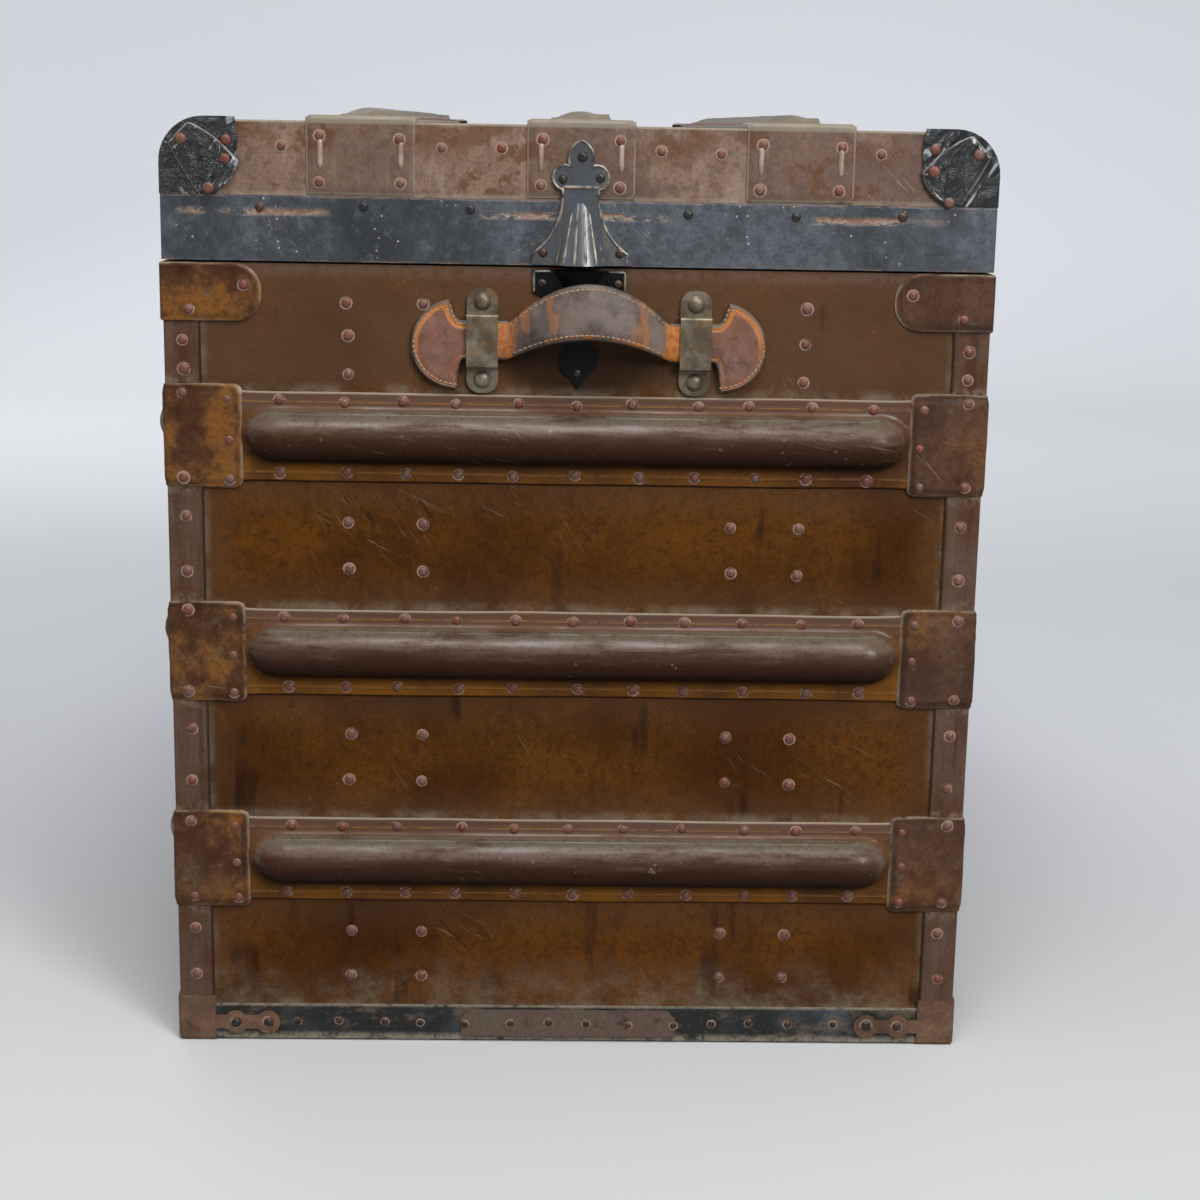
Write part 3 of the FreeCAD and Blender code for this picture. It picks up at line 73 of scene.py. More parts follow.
# Places taken from the frame
BODY_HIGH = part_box("front_covering")[1]
HALF_LENGTH = BODY_HIGH[1]
HALF_WIDTH = BODY_HIGH[0]
RIM = BODY_HIGH[2]
VALANCE_LOW, VALANCE_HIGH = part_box("lid_valance")
SKIRT_FOOT = VALANCE_LOW[2]
SKIRT_TOP = VALANCE_HIGH[2]
LID_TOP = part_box("lid_wrap_covering")[1][2]
BAND_LOW, BAND_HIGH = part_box("left_end_bands")
PATCH_LOW, PATCH_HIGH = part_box("top_corner_patches")
BASE_LOW, BASE_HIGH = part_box("base_bindings")
LOOP_LOW, LOOP_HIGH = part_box("handle_loops")
HANDLE_UP = (LOOP_LOW[2] + LOOP_HIGH[2]) / 2
GRIP_LOW, GRIP_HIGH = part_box("left_handle_grip")
HANDLE_ASIDE = (GRIP_LOW[0] + GRIP_HIGH[0]) / 2
# Half width, half height and middle of the painted shadow below a strap
HANDLE_SHADOW = (0.066, 0.026, HANDLE_UP - 0.014)
SOCKET_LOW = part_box("dowel_bases")[0]


def tone(code):
    """The scene colour of a six-figure screen colour."""
    shades = [int(code[i : i + 2], 16) / 255 for i in (0, 2, 4)]
    return [s / 12.92 if s < 0.04045 else ((s + 0.055) / 1.055) ** 2.4 for s in shades]


def length(name, value, description):
    """A size property in metres, given in millimetres."""
    return bpy.props.FloatProperty(
        name=name, description=description, default=value * MM, min=0, unit="LENGTH", precision=5
    )


def colour(name, code, description):
    """A colour property given as a screen colour."""
    return bpy.props.FloatVectorProperty(
        name=name, description=description, default=tone(code), min=0, max=1, size=3, subtype="COLOR"
    )


def bearing(name, value, description):
    """An angle property in radians."""
    return bpy.props.FloatProperty(name=name, description=description, default=value, subtype="ANGLE")


def watts(name, value, description):
    """A lamp's power in watts."""
    return bpy.props.FloatProperty(name=name, description=description, default=value, unit="POWER")


class TrunkSizes(bpy.types.PropertyGroup):
    """Sizes of the pieces that dress the frame."""

    band_width: length("Band width", 61, "Hide band carrying a rib")
    band_leather: length("Band hide", 2, "Thickness of a band")
    band_flare: length("Band flare", 3.2, "How much a band widens towards its ends")
    band_flare_run: length("Flare run", 46, "Length over which a band widens")
    band_inset: length("Band inset", 23, "Trunk corner to the end of a band")
    rib_width: length("Rib width", 35.5, "Width of a rib at its band")
    rib_rise: length("Rib rise", 17, "How far a rib stands off its band")
    rib_tip: length("Rib tip", 53, "Trunk corner to the nose of a rib")
    lid_band_width: length("Lid band width", 60, "Hide band on the lid")
    lid_rib_width: length("Lid rib width", 40, "Width of a lid rib at its band")
    lid_rib_rise: length("Lid rib rise", 8, "How far a lid rib stands off its band")
    lid_rib_tip: length("Lid rib tip", 54, "Lid end to the nose of a lid rib")
    lid_band_pitch: length("Lid band pitch", 145.5, "Lid band to lid band")
    clamp_leg: length("Clamp leg", 50, "Corner clamp along each face")
    clamp_tall: length("Clamp height", 71, "Corner clamp up the corner")
    clamp_round: length("Clamp corners", 5, "Rounded corners of a clamp")
    patch_leg: length("Patch leg", 64, "Top corner patch along each face")
    patch_round: length("Patch end", 18, "Rounded end of a patch")
    lid_clamp_half: length("Lid clamp half width", 36, "Half of a lid clamp across")
    lid_clamp_reach: length("Lid clamp reach", 50, "Lid clamp along the lid top")
    nail_radius: length("Nail radius", 3.3, "Radius of a nail head")
    nail_rise: length("Nail rise", 1.7, "How far a nail head stands proud")
    nail_pitch: length("Nail pitch", 39, "Nail to nail along a band")
    strap_thick: length("Strap thickness", 6, "Stitched strap of a handle")
    stitch_run: length("Stitch", 3.4, "Stitch to stitch along a seam")


class TrunkColours(bpy.types.PropertyGroup):
    """Colours of hides, metals, wood and cloth."""

    field_dark: colour("Field dark", "3a1f06", "Dark varnish of the open fields")
    field_amber: colour("Field amber", "583206", "Amber varnish of the open fields")
    field_haze: colour("Field haze", "57412f", "Dull haze on the fields")
    dust: colour("Dust", "8f8472", "Dust along edges")
    # Partly dust, partly a painted highlight round the nail heads
    ring: colour("Nail ring", "957c6d", "Pale ring round a nail")
    band: colour("Band", "4a2f1b", "Hide of the bands")
    band_amber: colour("Band amber", "7a4d18", "Amber varnish on the bands")
    # Dark hide for grain, stains and cracks, and also the painted shade below ribs, along band edges and
    # below the handle straps
    band_dark: colour("Band dark", "1c0f07", "Dark hide below a rib")
    # Also the painted highlight band along a rib's upper flank
    rib: colour("Rib", "604e43", "Worn grey-brown of the ribs")
    # Laid on the ribs' lower flank as painted shade
    rib_low: colour("Rib low", "351e11", "Brown flank of the ribs")
    rib_brown: colour("Rib brown", "422c1f", "Middle of the ribs")
    rib_dust: colour("Rib dust", "565041", "Dusty shoulder of the ribs")
    # Dust on the lid; along the lid's top edge it is also laid as a painted highlight
    lid_dust: colour("Lid dust", "857f6f", "Dust that lies on the lid")
    clamp: colour("Clamp", "624229", "Red-brown hide of the clamps")
    clamp_dark: colour("Clamp dark", "3a2010", "Dark hide of the clamps")
    clamp_mauve: colour("Clamp mauve", "41312b", "Dull purple-brown hide of the clamps")
    # On the bands' creases this colour is a painted highlight; on the handle loops it is the steel's amber
    # tone
    amber: colour("Amber edge", "8f6434", "Bright varnish on folds")
    binding: colour("Binding", "574339", "Hide of the upright bindings")
    lid: colour("Lid hide", "836b5c", "Faded pinkish hide of the lid")
    lid_warm: colour("Lid warm", "836b58", "Warmer faded hide of the lid")
    lid_stain: colour("Lid stain", "57381e", "Brown varnish left on the lid")
    lid_shade: colour("Lid shade", "4e3a33", "Darker hide of the lid")
    # Also laid on the lid clamps' beads as a painted highlight
    lid_pale: colour("Lid pale", "a08c7e", "Rubbed hide of the lid")
    skirt: colour("Skirt", "474b52", "Blue-black paint of the lid skirt")
    skirt_pale: colour("Skirt pale", "757b83", "Rubbed places of the skirt")
    skirt_dark: colour("Skirt dark", "1d2024", "Fresh black of the lid skirt")
    chip: colour("Chip", "735140", "Bare brown where paint has chipped")
    cream: colour("Cream", "b7ab93", "Pale specks of old paint")
    black_hide: colour("Black hide", "0f1113", "Glossy hide of the lid corners")
    # Painted highlights along the caps' creases
    cap_crease_highlight: colour("Cap sheen", "a3a9b1", "Rubbed creases of the black caps")
    black_worn: colour("Worn black", "50565d", "Rubbed black hide")
    dowel: colour("Dowel", "4a4b4d", "Black steel of the dowels")
    dowel_rub: colour("Dowel rub", "9b9081", "Tan rub marks on the dowels")
    loop: colour("Loop", "544736", "Olive-brown steel of the loops")
    loop_bright: colour("Loop bright", "7d7462", "Rubbed steel of the loops")
    strap: colour("Strap", "71635a", "Grey-brown face of the handle")
    strap_dark: colour("Strap dark", "3a2f29", "Dark edge of the handle")
    raw: colour("Raw hide", "b06c2c", "Orange raw hide at worn places")
    raw_dark: colour("Raw hide dark", "84491c", "Darker raw hide")
    tab: colour("Tab", "683f2f", "Red-brown middle of a handle tab")
    tab_pale: colour("Tab pale", "7a574a", "Rubbed middle of a handle tab")
    tab_rim: colour("Tab rim", "635b55", "Grey rim of a handle tab")
    base_black: colour("Base black", "111212", "Worn black foot strip")
    overlay: colour("Overlay", "564a3d", "Grey-brown patch on the foot strip")
    rust: colour("Rust", "4a3122", "Rusty steel of the foot caps")
    rust_pale: colour("Pale rust", "735640", "Rubbed steel of the foot caps")
    copper: colour("Nail", "683322", "Copper-brown nail heads")
    copper_dull: colour("Dull nail", "644639", "Dulled nail heads")
    nail_dark: colour("Dark nail", "241f1d", "Blackened nail heads")
    pine: colour("Pine", "a57b50", "Boards and battens")
    pine_dark: colour("Pine grain", "7b5430", "Grain lines in the boards")
    lining: colour("Lining", "b3a485", "Cloth lining")
    lining_stain: colour("Lining stain", "8a7552", "Stains on the lining")
    brass: colour("Brass", "80673a", "Lock and hasp")
    brass_dark: colour("Brass tarnish", "3d3222", "Tarnish on lock and hasp")
    thread: colour("Thread", "94856f", "Stitching")


class TrunkStage(bpy.types.PropertyGroup):
    """Camera, floor and light."""

    backdrop_glow: colour("Backdrop glow", "787a7d", "Paleness of the far paper, for the camera only")
    backdrop_bounce: colour("Backdrop bounce", "6c6d70", "Paper as the light that it sends back shows it")
    backdrop: colour("Backdrop", "babbbb", "Floor near the trunk")
    backdrop_shade: colour("Backdrop shade", "c4c5c9", "Paper just behind the trunk")
    backdrop_far: colour("Backdrop far", "eff0f4", "Upright paper")
    sky_low: colour("Low sky", "66696d", "Even light from the sides")
    sky_high: colour("High sky", "c4c7cb", "Even light from above")
    sky_seen: colour("Sky seen", "b6babf", "Pale ground past the end of the paper")
    camera_height: length("Camera height", 646, "Lens above the floor")
    camera_away: length("Camera distance", 1455.7, "Lens to the photographed end")
    camera_aside: length("Camera offset", 17.6, "Lens beside the trunk's centre line")
    camera_turn: bearing("Turn", math.radians(1.5), "How far the lens stands round the end")
    camera_tilt: bearing("Tilt", math.radians(12.38), "How far the lens looks down")
    camera_roll: bearing("Roll", 0.0182, "How far the picture leans")
    lens: bpy.props.FloatProperty(
        name="Lens", description="Focal length in millimetres", default=64.8, unit="CAMERA"
    )
    key: watts("Key", 76, "Power of the main lamp")
    fill: watts("Fill", 8, "Power of the side lamp")
    back: watts("Back", 24, "Power of the lamp behind the trunk")
    over: watts("Top", 50, "Power of the top lamp")


def sizes():
    return bpy.context.scene.trunk_sizes


def colours():
    return bpy.context.scene.trunk_colours


def stage_values():
    return bpy.context.scene.trunk_stage


def band_centres():
    """Heights of the three bands' middles, the lowest first."""
    half = sizes().band_width / 2
    low = BAND_LOW[2] + half
    high = BAND_HIGH[2] - half
    return [low, (low + high) / 2, high]


class Shade:
    """A shader socket that takes part in sums: each operator adds one Math node."""

    def __init__(self, paint, socket):
        self.paint = paint
        self.socket = socket

    def math(self, operation, first, second=0.0):
        return self.paint.node("ShaderNodeMath", {"operation": operation}, {0: first, 1: second})

    def __add__(self, other):
        return self.math("ADD", self, other)

    __radd__ = __add__

    def __mul__(self, other):
        return self.math("MULTIPLY", self, other)

    __rmul__ = __mul__

    def __sub__(self, other):
        return self.math("SUBTRACT", self, other)

    def __rsub__(self, other):
        return self.math("SUBTRACT", other, self)

    def __truediv__(self, other):
        return self.math("DIVIDE", self, other)

    def __abs__(self):
        return self.math("ABSOLUTE", self)

    def least(self, other):
        return self.math("MINIMUM", self, other)

    def most(self, other):
        return self.math("MAXIMUM", self, other)

    def over(self, low, high):
        """A soft step from 0 at low to 1 at high."""
        return self.paint.node(
            "ShaderNodeMapRange",
            {"interpolation_type": "SMOOTHSTEP"},
            {"Value": self, "From Min": low, "From Max": high},
        )

    def under(self, low, high):
        """A soft step from 1 at low to 0 at high."""
        return 1 - self.over(low, high)


class Paint:
    """A material in the making, with the coats of colour laid on it so far."""

    def __init__(self, name, world=None):
        self.material = world or bpy.data.materials.new(name)
        self.material.use_nodes = True
        self.tree = self.material.node_tree
        self.shader = self.tree.nodes["Background" if world else "Principled BSDF"]
        self.spot = self.node("ShaderNodeTexCoord", output="Object")
        self.base = None

    def node(self, kind, settings=None, sockets=None, output=0):
        """Adds a node of a kind, sets it, fills or links its sockets and gives one output."""
        made = self.tree.nodes.new(kind)
        for key, value in (settings or {}).items():
            setattr(made, key, value)
        for key, value in (sockets or {}).items():
            self.plug(made.inputs[key], value)
        return Shade(self, made.outputs[output])

    def plug(self, socket, value):
        if isinstance(value, Shade):
            self.tree.links.new(value.socket, socket)
        else:
            socket.default_value = value

    def axes(self):
        """The place's three coordinates in metres."""
        split = self.node("ShaderNodeSeparateXYZ", None, {0: self.spot})
        outputs = split.socket.node.outputs
        return [Shade(self, outputs[i]) for i in range(3)]

    def stretched(self, stretch, turn):
        """Places that are turned first and drawn out after, so that streaks lie at a slant."""
        scale = tuple(1 / part for part in stretch)
        sockets = {"Vector": self.spot, "Scale": scale, "Rotation": turn}
        return self.node("ShaderNodeMapping", {"vector_type": "TEXTURE"}, sockets)

    def noise(self, scale, detail=4.0, roughness=0.55, stretch=None, turn=(0, 0, 0), twist=0.0):
        """Cloudy variation around one half; scale is in features per metre."""
        place = self.stretched(stretch, turn) if stretch else self.spot
        sockets = {
            "Vector": place,
            "Scale": scale,
            "Detail": detail,
            "Roughness": roughness,
            "Distortion": twist,
        }
        return self.node("ShaderNodeTexNoise", None, sockets)

    def cells(self, scale):
        """Distance to scattered points, for specks."""
        return self.node("ShaderNodeTexVoronoi", None, {"Vector": self.spot, "Scale": scale})

    def layer(self, name):
        """A number stored on the mesh."""
        return self.node("ShaderNodeAttribute", {"attribute_name": name}, output="Fac")

    def mix(self, share, low, high):
        """Low where share is 0 and high where it is 1; either may be a colour or its name."""
        sockets = {0: share, 6: self.rgba(low), 7: self.rgba(high)}
        return self.node("ShaderNodeMix", {"data_type": "RGBA"}, sockets, output=2)

    @staticmethod
    def rgba(value):
        """A socket as it is, or a colour with its alpha; a name stands for one of the trunk's colours."""
        if isinstance(value, str):
            value = getattr(colours(), value)
        return value if isinstance(value, Shade) else (*value, 1.0)

    def lay(self, share, hue):
        """Lays a colour over the coats so far, as thickly as share says."""
        self.base = self.mix(share, self.base, hue)

    def grain(self, scale, dark, pale, amount):
        """Fine dark and pale grains over the coats so far."""
        grains = self.noise(scale, detail=3, roughness=0.7)
        self.lay(grains.over(0.5, 0.7) * amount, dark)
        self.lay(grains.under(0.3, 0.42) * (amount * 0.4), pale)

    def scratches(self, turn, amount):
        """Fine lines at a slant."""
        lines = self.noise(24, 3, 0.6, stretch=(1, 1, 34), turn=turn)
        where = self.noise(9, 2).over(0.52, 0.7)
        return lines.over(0.65, 0.7) * where * amount

    def relief(self, height, strength, depth):
        """A normal bent by a height map."""
        return self.node(
            "ShaderNodeBump", None, {"Strength": strength, "Distance": depth, "Height": height}
        )

    def finish(self, **sockets):
        """Sets the surface shader, coloured by the coats; a name's underscores stand for spaces."""
        for name, value in {"base_color": self.base, **sockets}.items():
            label = name.replace("_", " ").title().replace("Ior", "IOR")
            self.plug(self.shader.inputs[label], value)
        return self.material


def nearest_band(z):
    """How far a height lies outside the nearest band's edge."""
    nearest = None
    for centre in band_centres():
        gap = abs(z - centre)
        nearest = gap if nearest is None else nearest.least(gap)
    return nearest - sizes().band_width / 2


def field_hide(name, across, corner):
    """Varnished hide of the open fields, hazed and dusty where it meets bands and bindings."""
    paint = Paint(name)
    places = paint.axes()
    z = places[2]
    aside = corner - abs(places[across])
    half = sizes().band_width / 2
    ledge = abs(z - BASE_HIGH[2])
    for centre in band_centres():
        ledge = ledge.least(abs(z - (centre + half)))
    shore = nearest_band(z).least(aside).least(z - BASE_HIGH[2])
    cloud = paint.noise(8, 6, 0.62).over(0.34, 0.66)
    mottle = paint.noise(150, 5, 0.72)
    patchy = paint.noise(36, 6, 0.72)
    veil = paint.noise(11, 6, 0.68)
    paint.base = paint.mix(cloud, "field_dark", "field_amber")
    paint.lay(patchy.over(0.5, 0.72) * 0.45, "field_dark")
    paint.lay(mottle.over(0.5, 0.6) * 0.6, "field_dark")
    paint.lay(mottle.under(0.32, 0.42) * 0.2, "field_haze")
    paint.grain(480, "band_dark", "field_haze", 0.5)
    upper = z.over(RIM - 0.1, RIM - 0.07) * (0.3 + veil * 0.6)
    haze = (shore.under(0.002, 0.032) * (0.08 + veil * 0.4)).most(veil.over(0.6, 0.76) * 0.25).most(upper)
    paint.lay(haze, "field_haze")
    drips = paint.noise(46, 4, 0.6, stretch=(1, 1, 0.12))
    stain = drips.over(0.56, 0.66) * paint.noise(13, 3).over(0.46, 0.6)
    paint.lay(stain * 0.7, "band_dark")
    cracks = paint.scratches((0, 1.35, 0), 0.8) + paint.scratches((1.35, 0.9, 0), 0.8)
    paint.lay(cracks.least(0.8), "band_dark")
    # On the end fields, a painted shadow darkens the hide below each handle strap
    if across == 0:
        wide = places[0] / HANDLE_SHADOW[0]
        tall = (z - HANDLE_SHADOW[2]) / HANDLE_SHADOW[1]
        strap_shadow = (wide * wide + tall * tall).under(0.25, 1.1) * (0.6 + patchy * 0.4)
        paint.lay(strap_shadow * 0.9, "band_dark")
    rim_glow = z.over(RIM - 0.012, RIM - 0.004) * mottle.over(0.3, 0.6) * 0.6
    paint.lay(rim_glow, "rib")
    foot = z.under(BASE_HIGH[2], BASE_HIGH[2] + 0.045) * (0.15 + mottle.over(0.35, 0.65) * 0.4)
    settle = (ledge.under(0.0003, 0.009) * 0.4).most(foot * 0.7).most(aside.under(0.0, 0.006) * 0.3)
    settle = settle * patchy.over(0.36, 0.66)
    specks = paint.cells(200).under(0.05, 0.12) * paint.noise(16, 2).over(0.5, 0.64)
    marks = paint.scratches((0.4, 0.5, 0), 0.4) + paint.scratches((0.2, 1.0, 0.5), 0.4)
    paint.lay((settle + specks * 0.4 + marks).least(0.8), "dust")
    dents = paint.noise(34, 3) * 2.4 + mottle * 0.9 + drips * 0.6
    return paint.finish(
        roughness=0.4 + settle * 0.3 + mottle * 0.16,
        specular_ior_level=0.06,
        coat_weight=cloud * 0.12 * (1 - haze),
        coat_roughness=0.3,
        normal=paint.relief(dents, 0.6, 0.001),
    )


def band_hide(name, dusty):
    """Brown hide of the bands: rubbed on the rib's crown, with painted shade on its lower flank and a
    painted highlight on its upper flank, dusty on the upper rim.
    """
    paint = Paint(name)
    edge = paint.layer("edge")
    across = paint.layer("across")
    rise = paint.layer("rise")
    along = abs(paint.layer("along"))
    cloud = paint.noise(13, 5, 0.62)
    mottle = paint.noise(150, 5, 0.72)
    patchy = paint.noise(46, 6, 0.74)
    streak = paint.noise(120, 5, 0.66, stretch=(0.14, 0.14, 1))
    waver = across + (streak - 0.5) * 0.3 + (cloud - 0.5) * 0.24
    amber = cloud.over(0.34, 0.66) * (0.3 + across.under(-0.5, -0.2) * 0.6)
    paint.base = paint.mix(amber, "band", "band_amber")
    paint.grain(560, "band_dark", "rib", 0.3)
    paint.lay(waver.over(0.5, 0.75) * 0.6, "binding")
    paint.lay(paint.scratches((0.2, 0.4, 0), 0.5), "rib")
    strip = paint.base
    # Across the rib: painted shade on the lower flank, brown in the middle, a painted highlight band and
    # streaks on the upper flank, and real dust on the shoulder
    paint.base = paint.mix(waver.over(-0.5, -0.2), "band_dark", "rib_low")
    paint.lay(waver.over(-0.06, 0.18), "rib_brown")
    paint.lay(waver.over(0.12, 0.32) * (0.5 + patchy * 0.6), "rib")
    paint.lay(waver.over(0.36, 0.5) * (0.35 + patchy * 0.7), "rib_dust")
    paint.lay(streak.over(0.58, 0.7) * across.over(-0.25, 0.1) * 0.35, "rib")
    paint.lay(streak.under(0.34, 0.46) * 0.65, "rib_low")
    paint.grain(420, "band_dark", "rib", 0.35)
    paint.lay(mottle.over(0.52, 0.66) * 0.4, "rib_low")
    paint.base = paint.mix(rise.over(0.2, 0.5), strip, paint.base)
    rub = rise.over(0.8, 1.15) * patchy.over(0.62, 0.7) * streak.over(0.5, 0.6) * 0.6
    flecks = paint.cells(120).under(0.06, 0.16) * paint.noise(15, 3).over(0.48, 0.6) * 0.28
    lines = paint.scratches((0, 0.2, 0), 0.4) + paint.scratches((0.3, 0.7, 0), 0.4)
    rub = rub.most((flecks + lines).least(0.7) * rise.over(0.3, 0.6))
    tips = along.over(0.84, 0.93) * rise.over(0.3, 0.7) * (patchy.over(0.42, 0.54) * 0.8)
    paint.lay(rub.most(tips), "dust")
    # Painted highlight along the creases beside the rib
    fold = abs(abs(across) - 0.78).under(0.006, 0.03) * mottle.over(0.34, 0.56) * 0.5
    paint.lay(fold, "amber")
    ledge = edge.under(0.0002, 0.0014) * across.over(0.2, 0.6) * patchy.over(0.2, 0.42)
    paint.lay(ledge * 0.75, "dust")
    # Painted shade along the band's lower edge
    lower = edge.under(0.0003, 0.0018) * across.under(-0.6, -0.2)
    paint.lay(lower * 0.9, "band_dark")
    paint.lay((0.3 + patchy * 0.9).least(1.0) * dusty, "lid_dust")
    return paint.finish(
        roughness=0.36 + mottle * 0.18 + ledge * 0.25,
        specular_ior_level=0.07,
        coat_weight=across.over(-0.2, 0.15) * (0.05 + streak.over(0.4, 0.64) * 0.4) * (1 - dusty * 0.8),
        coat_roughness=0.26,
        normal=paint.relief(mottle * 0.5 + streak * 1.1 + cloud * 1.4 + patchy * 0.6, 0.55, 0.0008),
    )


def clamp_hide():
    """Brown hide of clamps and patches, amber in places and scuffed."""
    paint = Paint("clamp_hide")
    edge = paint.layer("edge")
    each = paint.noise(5.5, 1) - paint.axes()[0] * 0.4
    cloud = paint.noise(24, 6, 0.68)
    mottle = paint.noise(170, 5, 0.74)
    patchy = paint.noise(60, 6, 0.76)
    paint.base = paint.mix(cloud.over(0.32, 0.68), "clamp_dark", "clamp")
    amber = cloud.over(0.46, 0.6) * each.over(0.4, 0.55)
    paint.lay(amber * 0.75, "band_amber")
    paint.lay(each.under(0.4, 0.52) * (0.2 + patchy * 0.5), "clamp_mauve")
    paint.grain(560, "band_dark", "rib", 0.38)
    paint.lay(mottle.over(0.5, 0.6) * 0.4, "clamp_dark")
    paint.lay(patchy.over(0.56, 0.66) * 0.5, "rib_dust")
    paint.lay(patchy.under(0.3, 0.4) * 0.6, "band_dark")
    marks = paint.scratches((0.3, 0.9, 0), 0.6) + paint.scratches((0.2, 0.1, 0.4), 0.6)
    paint.lay(marks.least(0.8), "dust")
    rim = edge.under(0.0003, 0.0022) * patchy.over(0.36, 0.56)
    paint.lay(rim * 0.5, "dust")
    dark = edge.over(0.0018, 0.003) * edge.under(0.004, 0.007) * patchy.over(0.38, 0.6)
    paint.lay(dark * 0.6, "band_dark")
    return paint.finish(
        roughness=0.36 + mottle * 0.2,
        specular_ior_level=0.1,
        coat_weight=0.08 + cloud.over(0.4, 0.7) * 0.25,
        coat_roughness=0.28,
        normal=paint.relief(mottle * 0.9 + cloud * 1.6 + patchy * 0.8, 0.65, 0.0009),
    )


def binding_hide():
    """Upright bindings, streaked, with a dark seam beside the fields."""
    paint = Paint("binding_hide")
    x, y, z = paint.axes()
    leg = sizes().band_inset
    seam = abs(abs(x) - (HALF_WIDTH - leg)).least(abs(abs(y) - (HALF_LENGTH - leg)))
    cloud = paint.noise(20, 5, 0.64)
    streak = paint.noise(110, 5, 0.65, stretch=(1, 1, 0.08))
    mottle = paint.noise(170, 5, 0.72)
    paint.base = paint.mix(cloud.over(0.32, 0.68), "binding", "band")
    paint.lay(streak.over(0.5, 0.66) * 0.6, "clamp_dark")
    paint.lay(streak.under(0.34, 0.44) * 0.4, "rib")
    paint.grain(540, "band_dark", "rib", 0.35)
    paint.lay(mottle.over(0.58, 0.7) * 0.35, "rib")
    settle = nearest_band(z).under(0.004, 0.014) * mottle.over(0.42, 0.6)
    paint.lay(settle * 0.35, "dust")
    paint.lay(seam.under(0.0006, 0.0022) * 0.8, "band_dark")
    return paint.finish(
        roughness=0.42 + mottle * 0.2,
        specular_ior_level=0.14,
        normal=paint.relief(streak * 1.6 + mottle * 0.8, 0.55, 0.0007),
    )


def lid_hide(name, darker):
    """Faded hide of the lid with brown varnish left in patches."""
    paint = Paint(name)
    y, z = paint.axes()[1:]
    edge = paint.layer("edge")
    cloud = paint.noise(15, 6, 0.66)
    mottle = paint.noise(140, 6, 0.74)
    patchy = paint.noise(42, 6, 0.76)
    streak = paint.noise(120, 4, 0.6, stretch=(1, 1, 0.2))
    paint.base = paint.mix(mottle.over(0.4, 0.6), "lid", "rib")
    paint.lay(cloud.over(0.44, 0.62) * 0.6, "lid_warm")
    paint.lay(streak.over(0.52, 0.68) * 0.3, "lid_pale")
    shade = paint.noise(9, 3).over(0.44, 0.6).most(darker)
    paint.lay(shade * (0.3 + patchy * 0.7), "lid_shade")
    paint.lay(mottle.under(0.36, 0.48) * 0.45, "lid_shade")
    stain = patchy.over(0.5, 0.58) * cloud.over(0.46, 0.56)
    paint.lay(stain * 0.8, "lid_stain")
    top = z.over(LID_TOP - 0.03, LID_TOP - 0.01) * paint.noise(26, 4).over(0.5, 0.6)
    paint.lay(top * 0.7, "lid_stain")
    paint.grain(520, "lid_stain", "dust", 0.28)
    paint.lay(paint.scratches((0.3, 0.8, 0), 0.5), "lid_pale")
    settle = z.under(SKIRT_TOP + 0.001, SKIRT_TOP + 0.004) * patchy.over(0.35, 0.55)
    # The pale line along the lid's top edge is partly dust and partly a painted highlight
    crest_dust_and_highlight = z.over(LID_TOP - 0.0022, LID_TOP - 0.0006)
    roll = crest_dust_and_highlight * abs(y).over(HALF_LENGTH - 0.06, HALF_LENGTH - 0.03) * (0.3 + patchy * 0.6)
    roll = roll.most(crest_dust_and_highlight * patchy.over(0.42, 0.66) * 0.35)
    rim = edge.over(0.0002, 0.0004) * edge.under(0.0006, 0.0018) * patchy.over(0.3, 0.5)
    paint.lay((settle * 0.5).most(rim * 0.6), "dust")
    paint.lay(roll.least(1.0), "lid_dust")
    return paint.finish(
        roughness=0.44 + mottle * 0.2 - stain * 0.12,
        specular_ior_level=0.2,
        coat_weight=shade * 0.25 + stain * 0.2,
        coat_roughness=0.26,
        normal=paint.relief(mottle + cloud * 1.4 + patchy * 0.7, 0.6, 0.0008),
    )


